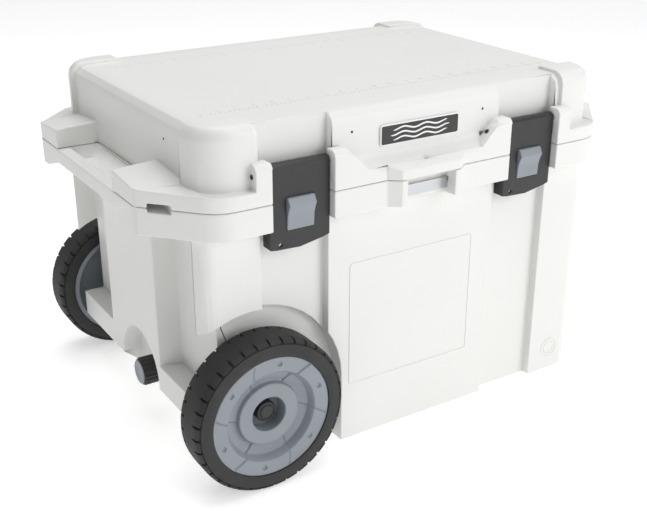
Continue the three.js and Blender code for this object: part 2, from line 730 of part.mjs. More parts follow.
function hingePin(sx) {
  const reach = HINGE_LID_KNUCKLE / 2 + RUN_GAP + HINGE_TUB_KNUCKLE;
  return rod("x", [HINGE_Y, HINGE_Z], HINGE_PIN_RADIUS, [sx * HINGE_X - reach, sx * HINGE_X + reach]);
}

function foot(x, y) {
  return rod("z", [x, y], FOOT_RADIUS, [0, FOOT_HEIGHT - SEAT_GAP]);
}

// ---------- lid ----------

// Rounded block of the lid with its latch bays, shrunk all round by inset.
function lidBlock(inset, bottom) {
  const middle = (LID_FRONT + LID_BACK) / 2;
  const halfDepth = (LID_BACK - LID_FRONT) / 2 - inset;
  const plan = rectangle(LID_HALF_LENGTH - inset, halfDepth, LID_RADIUS - inset);
  const whole = prism(
    "z",
    plan.map(([x, y, radius]) => [x, y + middle, radius]),
    [bottom - 2 * LID_EDGE_RADIUS, LID_TOP - inset],
    LID_EDGE_RADIUS - inset,
  );
  const bays = SIDES.map((sx) =>
    block(
      [sx * (LATCH_X - LID_BAY_HALF_WIDTH - inset), sx * (LATCH_X + LID_BAY_HALF_WIDTH + inset)],
      [RECESS_FLOOR + inset, LID_FRONT - OVERSHOOT],
      [0, LID_TOP + OVERSHOOT],
    ),
  );
  const below = block([-HALF_LENGTH, HALF_LENGTH], [-HALF_LENGTH, HALF_LENGTH], [0, bottom]);
  return cut(whole, bays, below);
}

// The four raised corner bumpers, which wrap over the lid's top edge.
function cornerBumpers() {
  const middle = (LID_FRONT + LID_BACK) / 2;
  const halfDepth = (LID_BACK - LID_FRONT) / 2;
  const plan = rectangle(
    LID_HALF_LENGTH + BUMPER_PROUD,
    halfDepth + BUMPER_PROUD,
    LID_RADIUS + BUMPER_PROUD,
  );
  const larger = prism(
    "z",
    plan.map(([x, y, radius]) => [x, y + middle, radius]),
    [LID_BOTTOM - 2 * LID_EDGE_RADIUS, LID_TOP + BUMPER_TOP],
    LID_EDGE_RADIUS,
  );
  const along = LID_HALF_LENGTH - BUMPER_ALONG;
  const across = halfDepth - BUMPER_ACROSS;
  return SIDES.flatMap((sx) =>
    SIDES.map((sy) =>
      larger.intersect(
        block(
          [sx * along, sx * HALF_LENGTH],
          [middle + sy * across, sy * HALF_LENGTH],
          [LID_BOTTOM, LID_TOP + OVERSHOOT],
        ),
      ),
    ),
  );
}

// The raised tops of the four wings: each is the collar's outline under one sloping plane.
function wingTops() {
  const highest = LEDGE_HEIGHT + OVERSHOOT;
  const raised = prism("z", collarOutline(), [LID_BOTTOM, highest]);
  const tipY = HANDLE_GAP_HALF_WIDTH + WING_TIP_BACK;
  const height = 5 * OVERSHOOT;
  return SIDES.flatMap((sx) =>
    SIDES.map((sy) => {
      const above = new THREE.BoxGeometry(2 * HALF_LENGTH, 2 * HALF_LENGTH, height);
      const tipHeight = LEDGE_HEIGHT + WING_TIP_RISE + height / 2;
      above.translate(sx * HALF_LENGTH, sy * tipY, tipHeight);
      const shear = new THREE.Matrix4().set(
        1, 0, 0, 0,
        0, 1, 0, 0,
        -sx * WING_SLOPE_X, -sy * WING_SLOPE_Y, 1, WING_SLOPE_X * HALF_LENGTH + WING_SLOPE_Y * tipY,
        0, 0, 0, 1,
      );
      above.applyMatrix4(shear);
      const wing = raised.intersect(
        block(
          [sx * (LID_HALF_LENGTH - JOIN), sx * (HALF_LENGTH + OVERSHOOT)],
          [sy * HANDLE_GAP_HALF_WIDTH, sy * (COLLAR_HALF_DEPTH + OVERSHOOT)],
          [LID_BOTTOM, highest],
        ),
      );
      return cut(wing, toSolid(above));
    }),
  );
}

// Ears that carry the latch pins: a sloped one on the inner side of each latch, a square one outside.
function latchEars() {
  const top = SEAM_HEIGHT + EAR_RISE;
  const front = -COLLAR_HALF_DEPTH;
  const profile = [
    [LID_FRONT + JOIN, LID_BOTTOM],
    [front, LID_BOTTOM],
    [front, top, EAR_RADIUS],
    [LID_FRONT + JOIN, top],
  ];
  return SIDES.flatMap((sx) => {
    const inner = LATCH_X - LATCH_RECESS_HALF_WIDTH;
    const outer = LATCH_X + LATCH_RECESS_HALF_WIDTH;
    const innerBar = prism("x", profile, [
      sx * inner,
      sx * (inner - EAR_INNER_FLAT - EAR_INNER_SLOPE),
    ]);
    const slope = prism(
      "y",
      [
        [top, sx * (inner - EAR_INNER_FLAT)],
        [LEDGE_HEIGHT + JOIN, sx * (inner - EAR_INNER_FLAT - EAR_INNER_SLOPE)],
        [LEDGE_HEIGHT + JOIN, sx * (inner - EAR_INNER_FLAT - EAR_INNER_SLOPE - OVERSHOOT)],
        [top + OVERSHOOT, sx * (inner - EAR_INNER_FLAT - EAR_INNER_SLOPE - OVERSHOOT)],
        [top + OVERSHOOT, sx * (inner - EAR_INNER_FLAT)],
      ],
      [front - OVERSHOOT, 0],
    );
    const outerEar = prism("x", profile, [sx * outer, sx * (outer + EAR_OUTER_WIDTH)]);
    return [cut(innerBar, slope), outerEar];
  });
}

// The concave fillet between the lid's front wall and the ledge of its collar.
function frontCove() {
  const back = LID_FRONT + JOIN;
  const profile = [
    [back, LID_BOTTOM + JOIN],
    [-COLLAR_HALF_DEPTH, LID_BOTTOM + JOIN],
    [-COLLAR_HALF_DEPTH, LEDGE_HEIGHT],
    [LID_FRONT, LEDGE_HEIGHT, COVE_RADIUS],
    [LID_FRONT, LEDGE_HEIGHT + COVE_RADIUS + JOIN],
    [back, LEDGE_HEIGHT + COVE_RADIUS + JOIN],
  ];
  const reach = LID_HALF_LENGTH - BUMPER_ALONG;
  return prism("x", profile, [-reach, reach]);
}

function lidHasp() {
  const top = SEAM_HEIGHT + HASP_RISE;
  const whole = prism("z", haspOutline(), [LID_BOTTOM, LEDGE_HEIGHT]);
  const slope = prism(
    "x",
    [
      [-COLLAR_HALF_DEPTH, LEDGE_HEIGHT],
      [HASP_FRONT, top],
      [HASP_FRONT - OVERSHOOT, top],
      [HASP_FRONT - OVERSHOOT, LEDGE_HEIGHT + HASP_SLOPE],
      [-COLLAR_HALF_DEPTH, LEDGE_HEIGHT + HASP_SLOPE],
    ],
    [-HALF_LENGTH, HALF_LENGTH],
  );
  return cut(whole, slope);
}

// Bores for the latch pins: from the inner ear's slope to the outer ear's cheek.
function latchPinBores(radius) {
  const inner = LATCH_X - LATCH_RECESS_HALF_WIDTH - EAR_INNER_FLAT;
  const outer = LATCH_X + LATCH_RECESS_HALF_WIDTH + EAR_OUTER_WIDTH;
  const slopeShare = (EAR_RISE - LATCH_PIN_RISE) / (EAR_RISE - LEDGE_RISE);
  const from = inner - EAR_INNER_SLOPE * slopeShare - radius;
  return SIDES.map((sx) =>
    rod("x", [LATCH_PIN_Y, LATCH_PIN_Z], radius, [sx * from, sx * (outer + JOIN)]),
  );
}

function lidShell() {
  const collar = prism("z", collarOutline(), [LID_BOTTOM, LEDGE_HEIGHT]);
  const handleGaps = SIDES.map((sx) =>
    block(
      [sx * LID_HALF_LENGTH, sx * (HALF_LENGTH + OVERSHOOT)],
      [-HANDLE_GAP_HALF_WIDTH, HANDLE_GAP_HALF_WIDTH],
      [0, LEDGE_HEIGHT + OVERSHOOT],
    ),
  );
  const knuckles = LID_KNUCKLES.map((ends) =>
    knuckle(ends, [LID_BOTTOM, HINGE_Z + HINGE_KNUCKLE_RADIUS]),
  );
  const tubKnuckleRoom = TUB_KNUCKLES.map((ends) => knuckleRoom(ends, [0, LEDGE_HEIGHT + OVERSHOOT]));
  const outside = join(
    cut(collar, handleGaps),
    wingTops(),
    lidBlock(0, LID_BOTTOM),
    cornerBumpers(),
    frontCove(),
    latchEars(),
    lidHasp(),
  );
  return cut(
    join(cut(outside, tubKnuckleRoom), knuckles),
    latchRecesses(0, LID_TOP + OVERSHOOT),
    tieDownSlots(),
    latchPinBores(LATCH_PIN_RADIUS + SEAT_GAP).map((bore) =>
      cut(bore, block([-HALF_LENGTH, HALF_LENGTH], [RECESS_FLOOR, HALF_LENGTH], [0, LID_TOP])),
    ),
    hingeBores(HINGE_PIN_RADIUS + SEAT_GAP),
    lidBlock(SHELL_WALL, LID_BOTTOM - JOIN),
    rod("z", [0, HASP_FRONT + LOCK_HOLE_INSET], LOCK_HOLE_RADIUS, [0, LEDGE_HEIGHT + OVERSHOOT]),
  );
}

// The space inside the lid's shell, less a gap to the shell.
function lidRoom() {
  return lidBlock(SHELL_WALL + SEAT_GAP, LID_BOTTOM);
}

function plugBlock(grow, bottom, top) {
  return linerBlock(grow - PLUG_GAP, bottom, top);
}

function gasketRing(gap) {
  const near = GASKET_INSET - gap;
  const far = GASKET_INSET + GASKET_WIDTH + gap;
  const top = LID_BOTTOM - SEAT_GAP + GASKET_THICKNESS + gap;
  const bottom = LID_BOTTOM - SEAT_GAP - gap;
  return cut(plugBlock(far, bottom, top), plugBlock(near, bottom - OVERSHOOT, top + OVERSHOOT));
}

function above(height) {
  return block([-HALF_LENGTH, HALF_LENGTH], [-HALF_LENGTH, HALF_LENGTH], [height, LID_TOP + OVERSHOOT]);
}

function lidLiner() {
  const plateTop = LID_BOTTOM + LID_LINER_THICKNESS;
  const plate = cut(lidRoom(), above(plateTop));
  const plug = plugBlock(0, LID_BOTTOM - PLUG_DEPTH, plateTop);
  const inside = plugBlock(-LINER_WALL, LID_BOTTOM - PLUG_DEPTH + LINER_WALL, plateTop + OVERSHOOT);
  return cut(join(plate, plug), inside, gasketRing(SEAT_GAP));
}

function lidInsulation() {
  const plateTop = LID_BOTTOM + LID_LINER_THICKNESS + SEAT_GAP;
  const slab = lidRoom().intersect(above(plateTop));
  const bottom = LID_BOTTOM - PLUG_DEPTH + LINER_WALL + SEAT_GAP;
  return join(slab, plugBlock(-LINER_WALL - SEAT_GAP, bottom, plateTop + JOIN));
}

function nameplate() {
  const low = SEAM_HEIGHT + NAMEPLATE_RISE;
  const high = low + NAMEPLATE_HEIGHT;
  const front = LID_FRONT - SEAT_GAP - NAMEPLATE_THICKNESS;
  const corners = [
    [low, -NAMEPLATE_HALF_WIDTH, NAMEPLATE_RADIUS],
    [low, NAMEPLATE_HALF_WIDTH, NAMEPLATE_RADIUS],
    [high, NAMEPLATE_HALF_WIDTH, NAMEPLATE_RADIUS],
    [high, -NAMEPLATE_HALF_WIDTH, NAMEPLATE_RADIUS],
  ];
  return prism("y", corners, [front, LID_FRONT - SEAT_GAP]);
}

// ---------- latches ----------

function latchPin(sx) {
  const inner = LATCH_X - LATCH_RECESS_HALF_WIDTH - EAR_INNER_FLAT;
  const outer = LATCH_X + LATCH_RECESS_HALF_WIDTH + EAR_OUTER_WIDTH;
  const ends = [sx * (inner - LATCH_PIN_SEAT), sx * (outer - LATCH_PIN_COVER)];
  return rod("x", [LATCH_PIN_Y, LATCH_PIN_Z], LATCH_PIN_RADIUS, ends);
}

function latchLever(sx) {
  const middle = sx * LATCH_X;
  const left = middle - LATCH_HALF_WIDTH;
  const right = middle + LATCH_HALF_WIDTH;
  const [dropLeft, dropMiddle, dropRight] = LATCH_DROP;
  const plate = prism(
    "y",
    [
      [SEAM_HEIGHT - dropLeft, left],
      [SEAM_HEIGHT - dropMiddle, middle, LATCH_EDGE_RADIUS],
      [SEAM_HEIGHT - dropRight, right],
      [LATCH_PIN_Z, right],
      [LATCH_PIN_Z, left],
    ],
    [LATCH_FACE, LATCH_BACK],
  );
  const barrel = rod("x", [LATCH_PIN_Y, LATCH_PIN_Z], LATCH_BARREL_RADIUS, [left, right], 2 * ROUND_SIDES);
  const front = block([left - JOIN, right + JOIN], [LATCH_FACE, -2 * HALF_LENGTH], [0, LID_TOP]);
  const ribs = [
    [left, left + LATCH_RIB, dropLeft],
    [right - LATCH_RIB, right, dropRight],
  ].map(([from, to, drop]) =>
    block(
      [from, to],
      [LATCH_FACE + JOIN, LATCH_BACK + LATCH_RIB_DEPTH],
      [SEAM_HEIGHT - drop, LATCH_PIN_Z],
    ),
  );
  const houseLow = BUTTON_BOTTOM_Z - BUTTON_FLANGE - RUN_GAP;
  const houseHigh = BUTTON_TOP_Z + BUTTON_FLANGE + RUN_GAP;
  const wall = BUTTON_HOUSING_WALL;
  const house = block(
    [middle - HOUSING_HALF_WIDTH, middle + HOUSING_HALF_WIDTH],
    [LATCH_FACE + JOIN, HOUSING_BACK],
    [houseLow - wall, houseHigh + wall],
  );
  const room = block(
    [middle - HOUSING_HALF_WIDTH + wall, middle + HOUSING_HALF_WIDTH - wall],
    [LATCH_BACK, HOUSING_BACK + OVERSHOOT],
    [houseLow, houseHigh],
  );
  const window = block(
    [middle - BUTTON_HALF_WIDTH - RUN_GAP, middle + BUTTON_HALF_WIDTH + RUN_GAP],
    [LATCH_FACE - OVERSHOOT, HOUSING_BACK],
    [BUTTON_BOTTOM_Z - RUN_GAP, BUTTON_TOP_Z + RUN_GAP],
  );
  const hooks = SIDES.map((side) =>
    block(
      [middle + side * CATCH_OFFSET, middle + side * (CATCH_OFFSET + CATCH_WIDTH)],
      [LATCH_FACE + JOIN, RECESS_FLOOR - CATCH_PROUD - RUN_GAP],
      [SEAM_HEIGHT - HOOK_DROP - HOOK_HEIGHT, SEAM_HEIGHT - HOOK_DROP],
    ),
  );
  return cut(
    join(plate, cut(barrel, front), ribs, house, hooks),
    room,
    window,
    rod("x", [LATCH_PIN_Y, LATCH_PIN_Z], LATCH_PIN_RADIUS + SEAT_GAP, [left - OVERSHOOT, right + OVERSHOOT]),
    rod(
      "y",
      [SEAM_HEIGHT - LANYARD_HOLE_DROP, left + LANYARD_HOLE_SIDE],
      LANYARD_HOLE_RADIUS,
      [LATCH_FACE - OVERSHOOT, LATCH_BACK + OVERSHOOT],
    ),
  );
}

function latchBackplate(sx) {
  const middle = sx * LATCH_X;
  const reach = BUTTON_FLANGE + RUN_GAP + BUTTON_HOUSING_WALL;
  return block(
    [middle - HOUSING_HALF_WIDTH, middle + HOUSING_HALF_WIDTH],
    [HOUSING_BACK + SEAT_GAP, HOUSING_BACK + SEAT_GAP + BACKPLATE_THICKNESS],
    [BUTTON_BOTTOM_Z - reach, BUTTON_TOP_Z + reach],
  );
}

function latchButton(sx) {
  const middle = sx * LATCH_X;
  const back = LATCH_FACE + BUTTON_DEPTH;
  const nose = LATCH_FACE - BUTTON_NOSE;
  const wedge = prism(
    "x",
    [
      [back, BUTTON_BOTTOM_Z],
      [LATCH_FACE - BUTTON_LIP, BUTTON_BOTTOM_Z],
      [LATCH_FACE - BUTTON_SCOOP, BUTTON_BOTTOM_Z + BUTTON_SCOOP_RISE, BUTTON_SCOOP_RADIUS],
      [nose, BUTTON_TOP_Z - BUTTON_NOSE_DROP],
      [LATCH_FACE - BUTTON_TOP_LIP, BUTTON_TOP_Z],
      [back, BUTTON_TOP_Z],
    ],
    [middle - BUTTON_HALF_WIDTH, middle + BUTTON_HALF_WIDTH],
  );
  const flangeFront = LATCH_BACK + SEAT_GAP;
  const flange = block(
    [middle - BUTTON_HALF_WIDTH - BUTTON_FLANGE, middle + BUTTON_HALF_WIDTH + BUTTON_FLANGE],
    [flangeFront, flangeFront + BUTTON_FLANGE_THICKNESS],
    [BUTTON_BOTTOM_Z - BUTTON_FLANGE, BUTTON_TOP_Z + BUTTON_FLANGE],
  );
  const pocket = rod(
    "y",
    [(BUTTON_BOTTOM_Z + BUTTON_TOP_Z) / 2, middle],
    SPRING_RADIUS + 2 * SEAT_GAP,
    [back - SPRING_POCKET, back + OVERSHOOT],
  );
  return cut(join(wedge, flange), pocket);
}

function buttonSpring(sx) {
  const back = LATCH_FACE + BUTTON_DEPTH;
  return tube(
    "y",
    [(BUTTON_BOTTOM_Z + BUTTON_TOP_Z) / 2, sx * LATCH_X],
    SPRING_RADIUS,
    SPRING_RADIUS - SPRING_WIRE,
    [back - SPRING_POCKET + SEAT_GAP, HOUSING_BACK],
  );
}

// ---------- wheels ----------
// Each wheel is drawn about the origin with its outer face at y = 0 and its back at y = width,
// then turned round for the rear one.

function tyre() {
  const seat = WHEEL_RADIUS - TYRE_DEPTH;
  const shoulder = WHEEL_RADIUS - TYRE_SHOULDER;
  return [
    [seat, 0],
    [seat, WHEEL_WIDTH],
    [shoulder, WHEEL_WIDTH],
    [WHEEL_RADIUS, WHEEL_WIDTH - TYRE_SHOULDER],
    [WHEEL_RADIUS, TYRE_SHOULDER],
    [shoulder, 0],
  ];
}

function rim() {
  const edge = WHEEL_RADIUS - TYRE_DEPTH - SEAT_GAP;
  const dish = edge - RIM_ANNULUS;
  const seat = AXLE_RADIUS + SEAT_GAP + BUSH_WALL + SEAT_GAP;
  const webBack = RIM_DISH_DEPTH + RIM_WEB;
  return [
    [seat, HUB_BORE_DEPTH],
    [seat, HUB_LENGTH],
    [HUB_BACK_RADIUS, HUB_LENGTH],
    [HUB_BACK_RADIUS, webBack],
    [edge - RIM_BARREL_WALL - RIM_DRAFT, webBack],
    [edge - RIM_BARREL_WALL, RIM_LENGTH],
    [edge, RIM_LENGTH],
    [edge, RIM_SET_BACK],
    [dish, RIM_SET_BACK],
    [dish - RIM_DRAFT, RIM_DISH_DEPTH],
    [HUB_RADIUS + HUB_CHAMFER, RIM_DISH_DEPTH + HUB_CHAMFER],
    [HUB_RADIUS, HUB_SET_BACK],
    [HUB_BORE_RADIUS, HUB_SET_BACK],
    [HUB_BORE_RADIUS, HUB_BORE_DEPTH],
  ];
}

function ring(inner, outer, from, to) {
  return [
    [inner, from],
    [inner, to],
    [outer, to],
    [outer, from],
  ];
}

function axleBush() {
  const inner = AXLE_RADIUS + SEAT_GAP;
  return ring(inner, inner + BUSH_WALL, HUB_BORE_DEPTH + SEAT_GAP, HUB_LENGTH);
}

function axleSpacer() {
  const wellDepth = WHEEL_WIDTH + WELL_SIDE_CLEARANCE;
  return ring(
    AXLE_RADIUS + SEAT_GAP,
    AXLE_RADIUS + AXLE_BOSS_WALL,
    HUB_LENGTH + SEAT_GAP,
    wellDepth - SEAT_GAP,
  );
}

function axleCapProfile() {
  const back = HUB_BORE_DEPTH - SEAT_GAP;
  const front = back - AXLE_CAP_LENGTH;
  return [
    [0, front],
    [0, front + AXLE_CAP_END],
    [AXLE_RADIUS + SEAT_GAP, front + AXLE_CAP_END],
    [AXLE_RADIUS + SEAT_GAP, back],
    [AXLE_CAP_RADIUS, back],
    [AXLE_CAP_RADIUS, front + AXLE_CAP_CHAMFER],
    [AXLE_CAP_RADIUS - AXLE_CAP_CHAMFER, front],
  ];
}

function axleProfile() {
  const capFloor = HUB_BORE_DEPTH - SEAT_GAP - AXLE_CAP_LENGTH + AXLE_CAP_END;
  const end = WHEEL_WIDTH + WELL_SIDE_CLEARANCE + AXLE_SOCKET_DEPTH;
  return [
    [0, capFloor + SEAT_GAP],
    [0, end],
    [AXLE_RADIUS, end],
    [AXLE_RADIUS, capFloor + SEAT_GAP],
  ];
}

// ---------- drain ----------

function drainFitting() {
  const flangeFace = -LINER_HALF_LENGTH + DRAIN_GASKET_THICKNESS + 2 * SEAT_GAP;
  const flangeEnd = flangeFace + DRAIN_FLANGE_THICKNESS;
  const end = ALCOVE_FLOOR - DRAIN_TUBE_LENGTH;
  const flange = rod("x", [DRAIN_Y, DRAIN_Z], DRAIN_FLANGE_RADIUS, [flangeFace, flangeEnd]);
  return cut(
    join(drainBore(DRAIN_TUBE_RADIUS, end, flangeEnd), flange),
    drainBore(DRAIN_BORE_RADIUS, end - OVERSHOOT, flangeEnd + OVERSHOOT),
  );
}

function drainGasket() {
  const face = -LINER_HALF_LENGTH + SEAT_GAP;
  const hole = DRAIN_TUBE_RADIUS + SEAT_GAP;
  const ends = [face, face + DRAIN_GASKET_THICKNESS];
  return tube("x", [DRAIN_Y, DRAIN_Z], DRAIN_FLANGE_RADIUS, hole, ends);
}

function drainNut() {
  const face = ALCOVE_FLOOR - SEAT_GAP;
  const hole = DRAIN_TUBE_RADIUS + SEAT_GAP;
  return cut(
    rod("x", [DRAIN_Y, DRAIN_Z], DRAIN_NUT_RADIUS, [face - DRAIN_NUT_THICKNESS, face], 6),
    drainBore(hole, -HALF_LENGTH, 0),
  );
}

const TETHER_FACE = ALCOVE_FLOOR - DRAIN_NUT_THICKNESS - 2 * SEAT_GAP;
const CAP_MOUTH = TETHER_FACE - TETHER_THICKNESS - SEAT_GAP;
const CAP_END = CAP_MOUTH - DRAIN_CAP_LENGTH;

function drainTether() {
  const back = TETHER_FACE - TETHER_THICKNESS;
  const top = DRAIN_Z + TETHER_LENGTH;
  const width = [DRAIN_Y - TETHER_HALF_WIDTH, DRAIN_Y + TETHER_HALF_WIDTH];
  const strap = block([back, TETHER_FACE], width, [DRAIN_Z, top]);
  const stud = block([back, ALCOVE_FLOOR - SEAT_GAP], width, [top - TETHER_STUD, top]);
  const loop = drainBore(DRAIN_NUT_RADIUS, back, TETHER_FACE);
  return cut(join(loop, strap, stud), drainBore(DRAIN_TUBE_RADIUS + SEAT_GAP, -HALF_LENGTH, 0));
}

function drainCap() {
  return cut(
    drainBore(DRAIN_CAP_RADIUS, CAP_END, CAP_MOUTH),
    drainBore(DRAIN_TUBE_RADIUS + SEAT_GAP, CAP_END + DRAIN_CAP_WALL - SEAT_GAP, 0),
  );
}

function drainCapDisc() {
  return drainBore(DRAIN_DISC_RADIUS, CAP_END - SEAT_GAP - DRAIN_DISC_THICKNESS, CAP_END - SEAT_GAP);
}

// ---------- assembly ----------

function finish(color, roughness, metalness) {
  return { color, roughness, metalness };
}
const WHITE = finish("#ececea", 0.45, 0);
const FOAM = finish("#e6dcb0", 0.9, 0);
const CHARCOAL = finish("#3f3f3f", 0.55, 0);
const GREY = finish("#969ca4", 0.5, 0);
const BLACK = finish("#1c1c1d", 0.5, 0);
const RUBBER = finish("#3d3d3b", 0.85, 0);
const STEEL = finish("#b9bcbf", 0.3, 1);
const SEAL = finish("#b8babb", 0.8, 0);

const cooler = new THREE.Group();

function add(name, solid, look, parent = cooler) {
  const mesh = new THREE.Mesh(toGeometry(solid), new THREE.MeshStandardMaterial(look));
  mesh.name = name;
  parent.add(mesh);
}

add("tub_shell", tubShell(), WHITE);
add("tub_liner", tubLiner(), WHITE);
add("tub_insulation", tubInsulation(), FOAM);
add("lid_shell", lidShell(), WHITE);
add("lid_liner", lidLiner(), WHITE);
add("lid_insulation", lidInsulation(), FOAM);
add("lid_gasket", gasketRing(0), SEAL);
add("nameplate", nameplate(), BLACK);
add("bottle_opener_plate", openerBlock(0), STEEL);

for (const [side, sx] of [["left", -1], ["right", 1]]) {
  add(`hinge_pin_${side}`, hingePin(sx), STEEL);
  add(`latch_pin_${side}`, latchPin(sx), STEEL);
  add(`latch_lever_${side}`, latchLever(sx), CHARCOAL);
  add(`latch_backplate_${side}`, latchBackplate(sx), CHARCOAL);
  add(`latch_button_${side}`, latchButton(sx), GREY);
  add(`button_spring_${side}`, buttonSpring(sx), STEEL);
}

const footEnds = [
  ["wheel_end", WHEEL_X + WELL_RADIUS + 2 * FOOT_RADIUS],
  ["far_end", BODY_HALF_LENGTH - FOOT_END_INSET],
];
for (const [end, x] of footEnds)
  for (const [side, sy] of [["front", -1], ["rear", 1]])
    add(`foot_${end}_${side}`, foot(x, sy * (BODY_HALF_DEPTH - FOOT_SIDE_INSET)), RUBBER);

for (const [side, sy] of [["front", -1], ["rear", 1]]) {
  const corner = new THREE.Group();
  corner.position.set(WHEEL_X, sy * WHEEL_FACE, WHEEL_RADIUS);
  corner.rotation.x = sy > 0 ? Math.PI : 0;
  cooler.add(corner);
  add(`tyre_${side}`, turned(tyre(), WHEEL_SIDES), RUBBER, corner);
  add(`rim_${side}`, turned(rim(), WHEEL_SIDES), GREY, corner);
  add(`axle_bush_${side}`, turned(axleBush(), ROUND_SIDES), BLACK, corner);
  add(`axle_spacer_${side}`, turned(axleSpacer(), ROUND_SIDES), BLACK, corner);
  add(`axle_${side}`, turned(axleProfile(), ROUND_SIDES), STEEL, corner);
  add(`axle_cap_${side}`, turned(axleCapProfile(), ROUND_SIDES), BLACK, corner);
}

add("drain_fitting", drainFitting(), BLACK);
add("drain_gasket", drainGasket(), RUBBER);
add("drain_nut", drainNut(), BLACK);
add("drain_tether", drainTether(), GREY);
add("drain_cap", drainCap(), BLACK);
add("drain_cap_disc", drainCapDisc(), GREY);

export default cooler;
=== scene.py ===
# %% [markdown]
# # A white hard cooler on two wheels
# The frame holds every solid of the cooler at its real size. This file gives each of them its
# finish, rounds the moulded edges, and adds the fine pieces: tread, swirled rims, coil springs,
# the ruler on the lid. Everything is in metres and already lies where it belongs.

# %% The frame and the tools
import math

import bmesh
import bpy
import numpy as np
from mathutils import Matrix, Vector


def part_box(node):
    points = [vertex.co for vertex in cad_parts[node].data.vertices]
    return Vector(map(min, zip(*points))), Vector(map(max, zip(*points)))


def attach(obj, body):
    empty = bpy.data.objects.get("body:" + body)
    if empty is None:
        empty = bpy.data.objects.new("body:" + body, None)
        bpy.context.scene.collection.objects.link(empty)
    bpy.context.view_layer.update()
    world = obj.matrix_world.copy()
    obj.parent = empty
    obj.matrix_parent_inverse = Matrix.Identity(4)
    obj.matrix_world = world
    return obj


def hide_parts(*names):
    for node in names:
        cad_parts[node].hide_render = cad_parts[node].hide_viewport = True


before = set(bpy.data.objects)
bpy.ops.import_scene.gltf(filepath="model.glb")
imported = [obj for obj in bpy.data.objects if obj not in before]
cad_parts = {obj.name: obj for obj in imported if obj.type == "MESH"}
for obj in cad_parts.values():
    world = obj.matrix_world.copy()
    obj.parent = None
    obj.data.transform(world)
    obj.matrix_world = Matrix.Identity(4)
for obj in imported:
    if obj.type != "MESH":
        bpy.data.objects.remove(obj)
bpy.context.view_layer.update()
MM = 0.001
scene = bpy.context.scene
print("solids in the frame:", len(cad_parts))

# %% [markdown]
# ## Camera, floor and light
# A cooler like this is sold in front of plain white. A long lens keeps its sides nearly parallel.
# The floor is one wide sheet, and large soft lamps stand in for a light tent: broad ones from the
# front and above keep the front bright, and the wheel end is left a shade darker.

# %% Camera
CAMERA_PLACE = Vector((-0.767, -1.2183, 0.7837))
CAMERA_AZIMUTH = math.radians(-32.19)
CAMERA_ELEVATION = math.radians(23.01)
look = bpy.data.cameras.new("camera")
look.lens = 57.11
look.sensor_width = 36
camera = bpy.data.objects.new("camera", look)
scene.collection.objects.link(camera)
towards = Vector((
    -math.sin(CAMERA_AZIMUTH) * math.cos(CAMERA_ELEVATION),
    math.cos(CAMERA_AZIMUTH) * math.cos(CAMERA_ELEVATION),
    -math.sin(CAMERA_ELEVATION),
))
camera.location = CAMERA_PLACE
camera.rotation_euler = towards.to_track_quat("-Z", "Y").to_euler()
scene.camera = camera
scene.view_settings.view_transform = "Standard"


# %% Colours: sRGB hex to linear
def linear(hex_colour):
    """Each sRGB channel c becomes c/12.92 when small, else ((c+0.055)/1.055) to the power 2.4."""
    c = np.array([int(hex_colour[i:i + 2], 16) for i in (1, 3, 5)]) / 255
    c = np.where(c <= 0.04045, c / 12.92, ((c + 0.055) / 1.055) ** 2.4)
    return (*c.tolist(), 1.0)


# %% Lamps
def soft_lamp(name, place, aim, size, watts):
    """A square area lamp of a size in metres at a place, turned to face a point."""
    lamp = bpy.data.lights.new(name, "AREA")
    lamp.size = size
    lamp.energy = watts
    holder = bpy.data.objects.new(name, lamp)
    holder.location = place
    holder.rotation_euler = (Vector(aim) - Vector(place)).to_track_quat("-Z", "Y").to_euler()
    scene.collection.objects.link(holder)


MIDDLE = (0, 0, 0.2)
soft_lamp("front_lamp", (1.1, -2.4, 1.3), MIDDLE, 1.6, 25)
soft_lamp("top_lamp", (-0.1, 0.1, 2.6), MIDDLE, 2.0, 33)


# %% [markdown]
# ## Materials
# Each finish is a small node tree on the piece's own Object coordinates, so a pattern stays put
# when a lid opens or a wheel turns. Two noises do most of the work: a broad one that shifts the
# colour a little, as pigment does in a thick moulding, and a fine one for the grain of the mould.

# %% A node with its settings and links, and a size for a pattern
def add(tree, kind, inputs=None, **settings):
    """Adds one node. A socket among the inputs is linked; any other value is set."""
    made = tree.nodes.new(kind)
    for key, value in settings.items():
        setattr(made, key, value)
    for key, value in (inputs or {}).items():
        if isinstance(value, bpy.types.NodeSocket):
            tree.links.new(value, made.inputs[key])
        else:
            made.inputs[key].default_value = value
    return made


def per_metre(millimetres):
    """A texture's scale for features of that size: 1000 divided by the size."""
    return 1000 / millimetres


